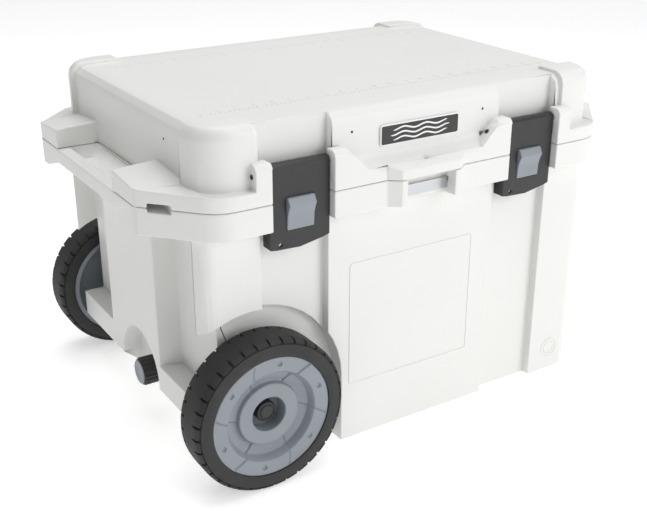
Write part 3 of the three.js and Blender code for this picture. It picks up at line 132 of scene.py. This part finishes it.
def finish(name, light, dark, roughness, patch_mm, grain_mm, grain_depth_mm, spread=0.06,
           stretch=(1, 1, 1), **shader):
    """Broad noise mixes dark into light, and fine noise, through Bump, raises the grain."""
    made = bpy.data.materials.new(name)
    made.use_nodes = True
    tree = made.node_tree
    skin = tree.nodes["Principled BSDF"]
    for key, value in shader.items():
        skin.inputs[key.replace("_", " ")].default_value = value
    place = add(tree, "ShaderNodeTexCoord")
    drawn = add(tree, "ShaderNodeMapping", {"Vector": place.outputs["Object"], "Scale": stretch})
    patches = add(tree, "ShaderNodeTexNoise", {
        "Vector": drawn.outputs["Vector"], "Scale": per_metre(patch_mm), "Detail": 4.0})
    colour = add(tree, "ShaderNodeMix", {
        "Factor": patches.outputs["Fac"], 6: linear(light), 7: linear(dark)}, data_type="RGBA")
    grain = add(tree, "ShaderNodeTexNoise", {
        "Vector": drawn.outputs["Vector"], "Scale": per_metre(grain_mm), "Detail": 3.0})
    polish = add(tree, "ShaderNodeMapRange", {
        "Value": grain.outputs["Fac"], "To Min": roughness - spread, "To Max": roughness + spread})
    relief = add(tree, "ShaderNodeBump", {
        "Height": grain.outputs["Fac"], "Strength": 0.6, "Distance": grain_depth_mm * MM})
    tree.links.new(colour.outputs[2], skin.inputs["Base Color"])
    tree.links.new(polish.outputs["Result"], skin.inputs["Roughness"])
    tree.links.new(relief.outputs["Normal"], skin.inputs["Normal"])
    return made


# %% [markdown]
# The sky lights the cooler from all round. One even sky would flatten it, so its strength follows
# the direction's X: it is brighter on the far side and dimmer towards the wheel end.

# %% Sky
sky = bpy.data.worlds.new("studio")
sky.use_nodes = True
direction = add(sky.node_tree, "ShaderNodeTexCoord")
split = add(sky.node_tree, "ShaderNodeSeparateXYZ", {"Vector": direction.outputs["Generated"]})
shade = add(sky.node_tree, "ShaderNodeMapRange", {
    "Value": split.outputs["X"], "From Min": -0.9, "From Max": 0.7, "To Min": 0.2, "To Max": 0.6})
backdrop = sky.node_tree.nodes["Background"]
backdrop.inputs["Color"].default_value = linear("#ffffff")
sky.node_tree.links.new(shade.outputs["Result"], backdrop.inputs["Strength"])
scene.world = sky

# %% [markdown]
# The shell is **injection-moulded polypropylene**: white, a little translucent to the eye, with a
# fine spark-eroded grain that breaks up reflections. A grain like that is usually a few tenths of a
# millimetre, too fine to show at this distance, so it is drawn at 1.6 mm.

# %% White shell, liner and foam
shell_white = finish("moulded polypropylene, white", "#e9e9e7", "#e1e1de", 0.42, 260, 1.6, 0.05,
                     IOR=1.49)
liner_white = finish("moulded polypropylene, liner white", "#f2f2ef", "#e9e9e5", 0.3, 180, 2.5,
                     0.03, IOR=1.49)
foam = finish("foamed polyurethane", "#ead9a0", "#d9c382", 0.9, 40, 3.0, 0.6, IOR=1.5)

# %% [markdown]
# Latches and drain parts are **glass-filled nylon**: nearly black and satin, with a grain that is
# easy to see close up. Buttons and rims are **ABS** in a cool grey, which moulds smoother.

# %% Nylon and ABS
latch_charcoal = finish("glass-filled nylon, charcoal", "#262728", "#1e1f20", 0.46, 60, 1.2, 0.08,
                        IOR=1.53)
black_nylon = finish("glass-filled nylon, black", "#232425", "#191a1a", 0.46, 40, 1.2, 0.07,
                     IOR=1.53)
accent_grey = finish("moulded ABS, blue-grey", "#8f959d", "#82888f", 0.44, 90, 1.4, 0.05,
                     IOR=1.54)

# %% [markdown]
# The tyre is **moulded rubber**: matt, and paler where dust lies in its pores. The feet and the
# drain's seal are softer rubber, and the lid's gasket is **extruded EPDM** in pale grey.

# %% Rubber and seals
tyre_black = finish("moulded rubber, tyre", "#333332", "#232323", 0.72, 28, 1.5, 0.18, IOR=1.52)
rubber_black = finish("moulded rubber, soft", "#2c2c2c", "#222222", 0.8, 20, 1.2, 0.1, IOR=1.52)
seal_grey = finish("extruded EPDM", "#bfc1c2", "#b0b2b3", 0.75, 50, 1.6, 0.08, IOR=1.5)

# %% [markdown]
# Pins, springs and the opener are **brushed stainless steel**. Brushing draws the grain out along
# the piece, so the pattern is stretched along X.

# %% Steel
steel = finish("brushed stainless steel", "#c9cbcd", "#b7babc", 0.32, 30, 0.9, 0.03, 0.08,
               stretch=(0.04, 1, 1), Metallic=1.0)
label_black = finish("printed polycarbonate, black", "#17181a", "#101113", 0.25, 50, 1.5, 0.01,
                     IOR=1.58)
label_white = finish("printed polycarbonate, white", "#f4f4f3", "#ebebea", 0.3, 50, 1.5, 0.01,
                     IOR=1.58)
floor_white = finish("matt paper sweep", "#f4f4f4", "#efefef", 0.9, 400, 4.0, 0.05, IOR=1.45,
                     Emission_Color=linear("#ffffff"), Emission_Strength=0.5)
print("materials:", len(bpy.data.materials))


# %% [markdown]
# ## Ways to make a piece
# A few helpers make every new piece. One turns a grid of points into a mesh, one gives a softened
# copy of a solid from the frame, and others carry a section round an axis or along a line.

# %% Grid of points to mesh
def settle(piece, body, material, stands_for=()):
    """Gives a finished piece its material and its body, and hides the solids it stands for."""
    piece.data.materials.clear()
    piece.data.materials.append(material)
    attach(piece, body)
    if stands_for:
        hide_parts(*stands_for)
    return piece


def heal(mesh):
    """Merges doubled points, as at poles and seams, and turns all faces outward."""
    work = bmesh.new()
    work.from_mesh(mesh)
    bmesh.ops.remove_doubles(work, verts=work.verts, dist=1e-6)
    bmesh.ops.recalc_face_normals(work, faces=work.faces)
    work.to_mesh(mesh)
    work.free()


def mesh_from(name, points, faces, smooth=True, sharp_degrees=40):
    """A healed mesh object from an (n, 3) array of points and an (m, 4) array of their numbers."""
    mesh = bpy.data.meshes.new(name)
    mesh.vertices.add(len(points))
    mesh.vertices.foreach_set("co", np.ascontiguousarray(points, np.float32).ravel())
    mesh.loops.add(faces.size)
    mesh.loops.foreach_set("vertex_index", faces.astype(np.int32).ravel())
    mesh.polygons.add(len(faces))
    mesh.polygons.foreach_set("loop_start", np.arange(0, faces.size, faces.shape[1], dtype=np.int32))
    mesh.update(calc_edges=True)
    mesh.validate()
    heal(mesh)
    if smooth:
        mesh.shade_smooth()
        mesh.set_sharp_from_angle(angle=math.radians(sharp_degrees))
    piece = bpy.data.objects.new(name, mesh)
    scene.collection.objects.link(piece)
    return piece


def grid_faces(rows, columns, close_rows=True, close_columns=True):
    """Quads of a grid of points, closed on itself in one or both directions."""
    number = np.arange(rows * columns).reshape(rows, columns)
    i = np.arange(rows if close_rows else rows - 1)[:, None]
    j = np.arange(columns if close_columns else columns - 1)[None, :]
    i2 = (i + 1) % rows
    j2 = (j + 1) % columns
    return np.stack([number[i, j], number[i2, j], number[i2, j2], number[i, j2]], -1).reshape(-1, 4)


def boxes(centres, halves):
    """Points and quads of many small blocks, from (n, 3) middles and half sizes."""
    signs = np.array([[x, y, z] for x in (-1, 1) for y in (-1, 1) for z in (-1, 1)])
    points = centres[:, None, :] + signs[None] * halves[:, None, :]
    sides = np.array([[0, 1, 3, 2], [4, 6, 7, 5], [0, 4, 5, 1],
                      [2, 3, 7, 6], [0, 2, 6, 4], [1, 5, 7, 3]])
    faces = sides[None] + 8 * np.arange(len(centres))[:, None, None]
    return points.reshape(-1, 3), faces.reshape(-1, 4)


# %% [markdown]
# A moulding has no knife edges. A copy of a solid is merged, its flat faces are joined, and a
# Bevel rounds the edges between faces that meet at more than 30 degrees. Edges that are short or
# beside a narrow face stay sharp, because a bevel has no room there. Many-sided faces are cut into
# triangles first, since a bevel can fold them over a neighbouring hollow. Weighted normals keep the
# big faces flat in shading while the small arcs shade round.

# %% Softened copy of a solid
SHARP = math.radians(30)
FLAT = math.radians(0.6)  # faces this near to one plane are joined
SLIVER = 0.06 * MM
SAME_POINT = 2e-6  # metres
ROOM = 1.6  # narrowest face beside a rounded edge, in widths of the rounding
SHORTEST = 3  # shortest rounded edge, in the same widths


def face_width(face):
    """Area over the longest edge: about the face's narrow side."""
    return face.calc_area() / max(edge.calc_length() for edge in face.edges)


def softened(node, width_mm, body, material, segments=3):
    """The node's own shape with edges rounded by width_mm."""
    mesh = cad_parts[node].data.copy()
    work = bmesh.new()
    work.from_mesh(mesh)
    bmesh.ops.remove_doubles(work, verts=work.verts, dist=SAME_POINT)
    slivers = [face for face in work.faces if 2 * face_width(face) < SLIVER]
    longest = {max(f.edges, key=lambda e: e.calc_length()) for f in slivers}
    bmesh.ops.dissolve_edges(work, edges=list(longest), use_verts=False)
    bmesh.ops.dissolve_limit(work, angle_limit=FLAT, verts=work.verts, edges=work.edges)
    weight = work.edges.layers.float.new("bevel_weight_edge")
    roomy = {face for face in work.faces if face_width(face) > ROOM * width_mm * MM}
    for edge in work.edges:
        wide = len(edge.link_faces) == 2 and roomy.issuperset(edge.link_faces)
        if wide and edge.calc_length() > SHORTEST * width_mm * MM and edge.calc_face_angle(0) > SHARP:
            edge[weight] = 1.0
    many_sided = [face for face in work.faces if len(face.verts) > 4]
    bmesh.ops.triangulate(work, faces=many_sided, ngon_method="BEAUTY")
    work.to_mesh(mesh)
    work.free()
    mesh.shade_smooth()
    mesh.set_sharp_from_angle(angle=math.radians(40))
    piece = bpy.data.objects.new(node + "_moulding", mesh)
    scene.collection.objects.link(piece)
    bevel = piece.modifiers.new("rounded edges", "BEVEL")
    bevel.limit_method = "WEIGHT"
    bevel.width = width_mm * MM
    bevel.segments = segments
    bevel.use_clamp_overlap = False
    bevel.miter_outer = "MITER_ARC"
    bevel.loop_slide = False
    shading = piece.modifiers.new("flat faces stay flat", "WEIGHTED_NORMAL")
    shading.keep_sharp = False
    return settle(piece, body, material, [node])


softened("tub_shell", 1.6, "tub", shell_white)
softened("lid_shell", 1.6, "lid", shell_white)
for side in ("left", "right"):
    softened(f"latch_lever_{side}", 0.9, f"latch_{side}", latch_charcoal)
    softened(f"latch_button_{side}", 1.2, f"button_{side}", accent_grey)
print("softened mouldings made")

# %% [markdown]
# The cooler stands on a wide, flat white ground. It glows a little, so that it stays pale away
# from the lamps.

# %% Floor
floor_points = np.array([[x, y, 0] for x in (-8, 8) for y in (-8, 8)], float)
floor = mesh_from("floor", floor_points, np.array([[0, 2, 3, 1]]), smooth=False)
floor.data.materials.append(floor_white)

# %% [markdown]
# Round pieces such as caps, pins and feet are a section turned about an axis. A raised line is a
# section carried along that line.

# %% Sections turned about an axis
AXES = {"x": (0, 1, 2), "y": (1, 2, 0), "z": (2, 0, 1)}


def turned(name, axis, centre, section, steps=64):
    """A section of (radius, along) points in mm, turned about an axis through centre (metres).

    Point k of the section goes to centre + radius * (cos t, sin t) across and along on the axis.
    """
    section = np.array(section, float) * MM
    t = np.linspace(0, 2 * np.pi, steps, endpoint=False)[:, None]
    main, across, up = AXES[axis]
    points = np.zeros((steps, len(section), 3))
    points[..., main] = section[:, 1] + 0 * t
    points[..., across] = section[:, 0] * np.cos(t)
    points[..., up] = section[:, 0] * np.sin(t)
    points = (points + np.array(centre)).reshape(-1, 3)
    return mesh_from(name, points, grid_faces(steps, len(section), True, False))


def carried(path, side, out, section):
    """A section of (s, o) points in mm carried along a path: point = path + s * side + o * out."""
    section = np.array(section, float) * MM
    points = (path[:, None, :] + section[None, :, 0, None] * side[:, None, :]
              + section[None, :, 1, None] * out[:, None, :])
    return points.reshape(-1, 3), grid_faces(len(path), len(section))


def middle_of(node):
    """The middle of a solid's box."""
    low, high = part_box(node)
    return (low + high) / 2


# %% [markdown]
# ## Wheels
# A wheel here is a hard ABS rim with a rubber tyre moulded on. The tyre is one closed section
# carried round the axle. Its radius drops in short notches along both shoulders, so the tread
# reads as a ring of low blocks. Angles are spaced closely only where a notch has its walls.

# %% Tyre
LUGS = 36
NOTCH_PLACES = np.array([0, 0.02, 0.15, 0.17, 0.35, 0.6, 0.85])
NOTCH_DEPTHS = np.array([0, 1, 1, 0, 0, 0, 0])
NOTCH_MM = 3.2
NOTCH_REACH_MM = 15


def wheel_points(radius, depth, angle, end):
    """Wheel coordinates in mm to the frame: x and z turn about the axle, y runs in from the face."""
    low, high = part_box(f"tyre_{end}")
    middle = (low + high) / 2
    outward = -1 if end == "front" else 1
    face = low.y if end == "front" else high.y
    x = middle.x + radius * MM * np.cos(angle)
    z = middle.z + radius * MM * np.sin(angle)
    y = face - outward * depth * MM + 0 * x
    return np.stack([x, y, z], -1)


def tyre(end):
    """Closed section with rounded shoulders; each lug's notch lowers the shoulder by up to 3.2 mm."""
    low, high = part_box(f"tyre_{end}")
    outer = (high.z - low.z) / 2 / MM
    width = (high.y - low.y) / MM
    seat = outer - 22
    half = [(seat, 0.4), (seat + 1.5, 0), (seat + 8, 0), (outer - 10, 0.6), (outer - 6.2, 1.2),
            (outer - 5.6, 2.6), (outer - 4.6, 2.6), (outer - 3.6, 1.6), (outer - 1.6, 3.4),
            (outer - 0.5, 6), (outer - 0.1, 10), (outer, 15), (outer, 21)]
    section = np.array(half + [(radius, width - depth) for radius, depth in reversed(half)])
    lug = np.arange(LUGS)[:, None]
    angle = ((lug + NOTCH_PLACES) / LUGS * 2 * np.pi).reshape(-1, 1)
    notch = np.tile(NOTCH_DEPTHS, LUGS).reshape(-1, 1)
    from_edge = np.minimum(section[:, 1], width - section[:, 1])
    on_shoulder = (section[:, 0] > outer - 5) & (from_edge < NOTCH_REACH_MM)
    radius = section[:, 0] - NOTCH_MM * notch * on_shoulder
    points = wheel_points(radius, section[:, 1] + 0 * angle, angle + 0 * radius, end)
    faces = grid_faces(len(angle), len(section))
    return mesh_from(f"tyre_{end}_tread", points.reshape(-1, 3), faces, sharp_degrees=35)


for end in ("front", "rear"):
    piece = tyre(end)
    settle(piece, f"wheel_{end}", tyre_black, [f"tyre_{end}"])
    print(piece.name, len(piece.data.polygons), "faces")

# %% [markdown]
# The rim's face is a height over radius and angle: an outer flat ring, a dish, and a hub ring.
# Six sectors sit at two levels with thin swirled seams between them, and each carries one round
# dimple. All of it is one grid, so the steps are real geometry.

# %% Rim
RIM_SECTORS = 6
DIMPLE_RADIUS = 3.4
SEAM_HALF_DEGREES = 0.9


def rim_face(radius, angle):
    """Depth in mm behind the wheel's face: ring, then dish, then hub, plus sector steps and seams."""
    depth = np.interp(radius, [23.5, 24.5, 40.5, 41.7, 43.2, 46, 57, 60.5, 62, 80, 81.7],
                      [10.8, 10, 10, 10.8, 15.4, 15.8, 12.4, 4.2, 2.2, 1.5, 2.4])
    swirl = angle + np.radians(14) * np.clip((radius - 42) / 40, 0, 1)
    sector = swirl * RIM_SECTORS / (2 * np.pi)
    place = (sector % 1) * 360 / RIM_SECTORS
    lower = (np.floor(sector).astype(int) % 2) * 1.0
    spread = np.clip((radius - 42.5) / 2, 0, 1) * np.clip((81 - radius) / 1.5, 0, 1)
    depth = depth + 1.1 * lower * spread
    near_seam = np.minimum(place, 360 / RIM_SECTORS - place) < SEAM_HALF_DEGREES
    depth = depth + 0.9 * near_seam * spread
    centre = (np.floor(sector) + 0.5) * 2 * np.pi / RIM_SECTORS - np.radians(10)
    apart = np.hypot(radius * np.cos(angle) - 71.5 * np.cos(centre),
                     radius * np.sin(angle) - 71.5 * np.sin(centre))
    return depth + 2.0 * np.clip((DIMPLE_RADIUS - apart) / 0.8, 0, 1)


def rim(end):
    """The front face's grid, closed through the outer wall, the back and the hub's bore."""
    face_radii = np.concatenate([np.linspace(81.7, 62, 26), np.linspace(61.2, 43.4, 22),
                                 [42.6, 41.7, 40.5, 36, 30, 24.5, 23.5]])
    back = np.array([(23.5, 30), (13.2, 30), (13.2, 48), (24, 48), (24.4, 29), (72.7, 29),
                     (74.7, 49.6), (81.3, 50), (81.7, 49)])
    angle = np.linspace(0, 2 * np.pi, 360, endpoint=False)[:, None]
    front_depth = rim_face(face_radii[None, :] + 0 * angle, angle + 0 * face_radii[None, :])
    radius = np.concatenate([face_radii, back[:, 0]])[None, :] + 0 * angle
    depth = np.concatenate([front_depth, back[:, 1][None, :] + 0 * angle], 1)
    points = wheel_points(radius, depth, angle, end)
    faces = grid_faces(len(angle), radius.shape[1])
    return mesh_from(f"rim_{end}_face", points.reshape(-1, 3), faces, sharp_degrees=28)


for end in ("front", "rear"):
    piece = rim(end)
    settle(piece, f"wheel_{end}", accent_grey, [f"rim_{end}"])
    print(piece.name, len(piece.data.polygons), "faces")

# %% [markdown]
# The axle's cap is pushed on in the hub's bore, a shallow dome with a ring round it. Small turned
# parts such as this one are a short section turned about their axis.

# %% Axle caps
for end in ("front", "rear"):
    low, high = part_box(f"axle_cap_{end}")
    centre = middle_of(f"axle_cap_{end}")
    length = (high.y - low.y) / MM
    outward = -1 if end == "front" else 1
    dome = [(0, -0.2), (5, 0), (8.5, 0.6), (9.2, 1.6), (10, 1.6), (10.6, 0.7), (12.6, 1.0),
            (13.8, 2.4), (14, 4), (14, length)]
    open_end = [(8.4, length), (8.4, 8.2), (0, 8.2)]
    section = [(radius, outward * (length / 2 - max(depth, 0))) for radius, depth in dome + open_end]
    piece = turned(f"axle_cap_{end}_dome", "y", centre, section)
    settle(piece, "tub", black_nylon, [f"axle_cap_{end}"])
print("axle caps made")

# %% [markdown]
# ## Drain
# The cap is turned by hand, so it has flutes: its radius follows a cosine with eighteen waves.
# Its grey end disc sits a little proud.

# %% Drain cap
FLUTES = 18


def drain_cap():
    """Radius = 19.2 + 0.8 * cos(18 t) along the grip, with a rounded end and a bored mouth."""
    low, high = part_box("drain_cap")
    centre = (low + high) / 2
    length = (high.x - low.x) / MM
    section = np.array([(0, 0), (15.5, 0), (17.6, 0.5), (18.8, 1.8), (19.2, 3.2), (19.2, 9),
                        (19.2, length - 5), (19.2, length - 3), (18.6, length - 1.2), (18, length),
                        (10.8, length), (10.4, length - 0.8), (10.4, 11), (0, 11)])
    wave = np.array([0, 0, 0.2, 0.7, 1, 1, 1, 0.6, 0, 0, 0, 0, 0, 0])
    t = np.linspace(0, 2 * np.pi, FLUTES * 10, endpoint=False)[:, None]
    radius = (section[:, 0] + 0.8 * np.cos(FLUTES * t) * wave) * MM
    x = low.x + section[:, 1] * MM + 0 * t
    points = np.stack([x, centre.y + radius * np.cos(t), centre.z + radius * np.sin(t)], -1)
    faces = grid_faces(len(t), len(section), True, False)
    return mesh_from("drain_cap_fluted", points.reshape(-1, 3), faces)


settle(drain_cap(), "drain_cap", black_nylon, ["drain_cap"])
disc_centre = (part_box("drain_cap_disc")[0].x, middle_of("drain_cap").y, middle_of("drain_cap").z)
disc = turned("drain_cap_disc_turned", "x", disc_centre,
              [(0, 0.3), (11.5, 0.3), (12.2, 0), (16.4, 0), (17, 0.5), (17, 1), (0, 1)])
settle(disc, "drain_cap", accent_grey, ["drain_cap_disc"])
softened("drain_tether", 0.6, "tub", accent_grey)
softened("drain_nut", 0.7, "tub", black_nylon)
print("drain pieces made")

# %% [markdown]
# ## Steel parts
# Hinge pins and latch pins are turned rods with chamfered ends. The springs behind the buttons
# are real coils: a small circle carried along a helix, thin at both ends where the wire is ground.

# %% Pins
for name, body in (("hinge_pin", "tub"), ("latch_pin", "lid")):
    for side in ("left", "right"):
        low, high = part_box(f"{name}_{side}")
        half = (high.x - low.x) / 2 / MM
        radius = (high.z - low.z) / 2 / MM
        section = [(0, -half), (radius - 0.6, -half), (radius, 0.6 - half), (radius, half - 0.6),
                   (radius - 0.6, half), (0, half)]
        pin = turned(f"{name}_{side}_turned", "x", middle_of(f"{name}_{side}"), section, 32)
        settle(pin, body, steel, [f"{name}_{side}"])
print("pins made")

# %% Coil springs
COILS = 7
WIRE_MM = 0.45


def coil(side):
    """Helix: (R cos u, R sin u) across and a steady rise along y; the wire's circle lies across it."""
    low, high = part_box(f"button_spring_{side}")
    centre = (low + high) / 2
    radius = (high.x - low.x) / 2 / MM - WIRE_MM
    travel = (high.y - low.y) / MM - 2 * WIRE_MM
    u = np.linspace(0, COILS * 2 * np.pi, COILS * 28)[:, None]
    v = np.linspace(0, 2 * np.pi, 9, endpoint=False)[None, :]
    along = np.clip((u / u.max() - 0.08) / 0.84, 0, 1)
    wire = WIRE_MM * np.sqrt(np.clip(1 - (2 * u / u.max() - 1) ** 40, 0, 1))
    across = radius + wire * np.cos(v)
    x = centre.x + across * np.cos(u) * MM
    z = centre.z + across * np.sin(u) * MM
    y = low.y + (WIRE_MM + travel * along + wire * np.sin(v)) * MM
    faces = grid_faces(len(u), v.size, False, True)
    return mesh_from(f"button_spring_{side}_coil", np.stack([x, y, z], -1).reshape(-1, 3), faces)


for side in ("left", "right"):
    settle(coil(side), f"latch_{side}", steel, [f"button_spring_{side}"])
softened("bottle_opener_plate", 0.4, "tub", steel)
print("springs and opener made")

# %% [markdown]
# ## Feet
# Each foot is a soft rubber disc with two grooves in its sole, so that it grips a wet deck.

# %% Feet
for node in [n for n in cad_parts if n.startswith("foot_")]:
    low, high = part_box(node)
    radius = (high.x - low.x) / 2 / MM
    top = (high.z - low.z) / MM
    section = [(0, 0), (3, 0), (3.6, 0.8), (4.8, 0.8), (5.4, 0), (9, 0), (9.6, 0.8), (10.8, 0.8),
               (11.4, 0), (radius - 0.8, 0), (radius, 0.8), (radius, top), (0, top)]
    centre = ((low.x + high.x) / 2, (low.y + high.y) / 2, low.z)
    pad = turned(f"{node}_pad", "z", centre, section, 48)
    settle(pad, "tub", rubber_black, [node])
print("feet made")

# %% [markdown]
# ## Fine relief on the mouldings
# The front carries a thin raised frame round a blank panel, and a small round mark low down on the
# right. Each is a half-round bead carried along its line. How wide and high it is on the real one
# isn't known. Here it is 2.2 mm wide and 0.8 mm proud, enough to show.

# %% Raised frame and round mark on the front
BEAD = [(1.1 * math.cos(a), 0.8 * math.sin(a)) for a in np.linspace(-0.35, math.pi + 0.35, 9)]


def loop_points(half_width, half_height, radius, steps=10):
    """A rounded rectangle about the middle: quarter circles of that radius at the four corners."""
    quarter = np.linspace(0, np.pi / 2, steps)
    corners = [(1, 1, 0), (-1, 1, 1), (-1, -1, 2), (1, -1, 3)]
    angle = np.concatenate([quarter + turn * np.pi / 2 for _, _, turn in corners])
    cx = np.repeat([sx * (half_width - radius) for sx, _, _ in corners], steps)
    cz = np.repeat([sz * (half_height - radius) for _, sz, _ in corners], steps)
    return cx, cz, radius, angle


def bead_loop(name, centre, half_width, half_height, radius, section=BEAD):
    """The section carried round a rounded rectangle that lies in the plane of the front wall."""
    cx, cz, r, a = loop_points(half_width, half_height, radius)
    side = np.stack([np.cos(a), 0 * a, np.sin(a)], -1)
    path = np.array(centre) + MM * (np.stack([cx, 0 * cx, cz], -1) + r * side)
    out = np.tile([0.0, -1.0, 0.0], (len(a), 1))
    return mesh_from(name, *carried(path, side, out, section))


BODY_FRONT = -0.222
PANEL_CENTRE = (0, BODY_FRONT, 0.1745)
MARK_CENTRE = (0.267, BODY_FRONT, 0.039)
frame_bead = bead_loop("front_panel_frame", PANEL_CENTRE, 99.4, 87.5, 4)
settle(frame_bead, "tub", shell_white)
for ring_name, ring_radius in (("round_mark_outer", 15.0), ("round_mark_inner", 9.5)):
    ring = bead_loop(ring_name, MARK_CENTRE, ring_radius, ring_radius, ring_radius)
    settle(ring, "tub", shell_white)
print("raised frame and rings made")

# %% [markdown]
# The top of the lid has a ruler moulded in along its front and back, for measuring a catch. How the
# real marks are spaced isn't known. Here they are low bars, one each quarter inch, longer at the
# half and the inch, with plain numbers.

# %% Ruler on the lid
INCH = 25.4 * MM
RULER_INCHES = 21
TOP_OVER_FOAM = 4.3 * MM
lid_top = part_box("lid_insulation")[1].z + TOP_OVER_FOAM


def ruler(name, y, forward):
    """Quarter-inch bars from the ruler's line: 4 mm, 6 mm at the half and 9 mm at the inch."""
    k = np.arange(4 * RULER_INCHES + 1)
    length = np.where(k % 4 == 0, 9, np.where(k % 2 == 0, 6, 4)) * MM
    x = (k / 4 - RULER_INCHES / 2) * INCH
    centres = np.stack([x, y + forward * length / 2, lid_top + 0 * x], -1)
    halves = np.stack([0.45 * MM + 0 * x, length / 2, 0.35 * MM + 0 * x], -1)
    marks = mesh_from(name, *boxes(centres, halves), smooth=False)
    edge = marks.modifiers.new("soft edges", "BEVEL")
    edge.width = 0.15 * MM
    edge.segments = 1
    return marks


def number(text, x, y, height_mm):
    """The points of a number's mesh, standing 0.35 mm proud of the lid."""
    letters = bpy.data.curves.new("number", "FONT")
    letters.body = text
    letters.size = height_mm * MM
    letters.extrude = 0.35 * MM
    letters.align_x = "CENTER"
    holder = bpy.data.objects.new("number", letters)
    scene.collection.objects.link(holder)
    mesh = bpy.data.meshes.new_from_object(holder)
    bpy.data.objects.remove(holder)
    mesh.transform(Matrix.Translation((x, y, lid_top)))
    return mesh


def numbers(name, y):
    """The numbers 1 to 20 along a ruler, as one mesh."""
    work = bmesh.new()
    for k in range(1, RULER_INCHES):
        work.from_mesh(number(str(k), (k - RULER_INCHES / 2) * INCH, y, 9))
    bmesh.ops.remove_doubles(work, verts=work.verts, dist=1e-6)
    mesh = bpy.data.meshes.new(name)
    work.to_mesh(mesh)
    work.free()
    piece = bpy.data.objects.new(name, mesh)
    scene.collection.objects.link(piece)
    return piece


for row_name, row_y, forward in (("front", -0.158, 1), ("back", 0.146, -1)):
    settle(ruler(f"ruler_marks_{row_name}", row_y, forward), "lid", shell_white)
    settle(numbers(f"ruler_numbers_{row_name}", row_y + (0.013 if forward > 0 else -0.02)),
           "lid", shell_white)
print("ruler marks and numbers made")

# %% [markdown]
# The lid has small dots beside the latches and on its walls. What they are isn't known. Each is
# drawn as a shallow dark plug with a recessed middle.

# %% Plugs
PLUG = [(0, 0.1), (1.5, 0.1), (1.9, 0.6), (2.4, 0.6), (2.7, 0.2), (2.7, -1.0), (0, -1.0)]


def plug(name, place, direction, size=1.0):
    """The button's section turned about a direction: u and v are any two directions across it."""
    d = Vector(direction).normalized()
    u = d.orthogonal().normalized()
    v = d.cross(u)
    t = np.linspace(0, 2 * np.pi, 24, endpoint=False)[:, None]
    section = np.array(PLUG) * MM * size
    across = np.cos(t)[..., None] * np.array(u) + np.sin(t)[..., None] * np.array(v)
    points = np.array(place) + section[:, 0, None] * across + section[:, 1, None] * np.array(d)
    faces = grid_faces(len(t), len(section), True, False)
    return mesh_from(name, points.reshape(-1, 3), faces)


for side, sx in (("left", -1), ("right", 1)):
    ear = plug(f"ear_plug_{side}", (sx * 0.2449, -0.2355, 0.409), (sx, 0, 0), 1.2)
    slope = plug(f"slope_plug_{side}", (sx * 0.104, -0.2345, 0.409), (-sx, 0, 1), 1.2)
    vent = plug(f"vent_plug_{side}", (sx * 0.102, -0.226, 0.438), (0, -1, 0), 0.6)
    end = plug(f"end_plug_{side}", (sx * 0.304, -0.128, 0.437), (sx, 0, 0), 0.6)
    for piece in (ear, slope, vent, end):
        settle(piece, "lid", black_nylon)
print("plugs made")

# %% [markdown]
# ## Nameplate
# A black printed plate in a thin white surround. Three white waves are printed on it. Each is a
# strip whose middle line is a sine.

# %% Nameplate, its border and its waves
plate_low, plate_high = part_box("nameplate")
plate_centre = (0, plate_low.y, (plate_low.z + plate_high.z) / 2)
plate_half_width = (plate_high.x - plate_low.x) / 2 / MM
plate_half_height = (plate_high.z - plate_low.z) / 2 / MM
softened("nameplate", 0.5, "lid", label_black)
BORDER = [(-0.8, -0.1), (-0.6, 0.35), (0.6, 0.35), (0.8, -0.1), (0.8, -1.8), (-0.8, -1.8)]
border = bead_loop("nameplate_border", plate_centre, plate_half_width, plate_half_height, 3, BORDER)
settle(border, "lid", label_white)


WAVE_MM = 5.5


def wave(name, height_mm, amplitude_mm, half_length_mm, half_width_mm):
    """A strip along z = h + A sin(x / WAVE_MM), its width tapering to nothing at both ends."""
    x = np.linspace(-half_length_mm, half_length_mm, 96)
    z = height_mm + amplitude_mm * np.sin(x / WAVE_MM)
    slope = amplitude_mm / WAVE_MM * np.cos(x / WAVE_MM)
    across = np.stack([-slope, 0 * x, 1 + 0 * x], -1) / np.sqrt(1 + slope ** 2)[:, None]
    width = half_width_mm * np.sqrt(np.clip(1 - (x / half_length_mm) ** 8, 0.0004, 1))
    path = np.array(plate_centre) + MM * np.stack([x, 0 * x, z], -1)
    corners = np.array([(-1, -0.2), (-0.9, 0.25), (0.9, 0.25), (1, -0.2)])
    spread = width[:, None, None] * corners[None, :, 0, None] * across[:, None, :]
    points = (path[:, None, :] + MM * spread
              + MM * corners[None, :, 1, None] * np.array([0, -1, 0]))
    strip, faces = points.reshape(-1, 3), grid_faces(len(x), 4, False, True)
    ends = np.array([[0, 1, 2, 3], [4 * len(x) - 1, 4 * len(x) - 2, 4 * len(x) - 3, 4 * len(x) - 4]])
    return mesh_from(name, strip, np.concatenate([faces, ends]))


for k, height in enumerate((-6.2, 0.0, 6.2)):
    piece = wave(f"nameplate_wave_{k + 1}", height, 1.7, 46 - 4 * abs(k - 1), 1.1)
    settle(piece, "lid", label_white)
print("nameplate made")

# %% [markdown]
# ## Finishes of the frame's own solids
# Some solids show as they are, and the rest are hidden. Each gets the finish of its material.

# %% Finishes of the solids that show as they are
LOOKS = {
    "tub_liner": liner_white, "lid_liner": liner_white,
    "tub_insulation": foam, "lid_insulation": foam, "lid_gasket": seal_grey,
    "nameplate": label_black, "bottle_opener_plate": steel,
}
for name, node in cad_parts.items():
    material = LOOKS.get(name, black_nylon)
    if name.startswith(("tyre", "foot")):
        material = tyre_black
    if name.startswith(("rim", "drain_cap_disc", "drain_tether")):
        material = accent_grey
    if name.startswith(("hinge_pin", "latch_pin", "button_spring", "axle_front", "axle_rear")):
        material = steel
    node.data.materials.clear()
    node.data.materials.append(material)
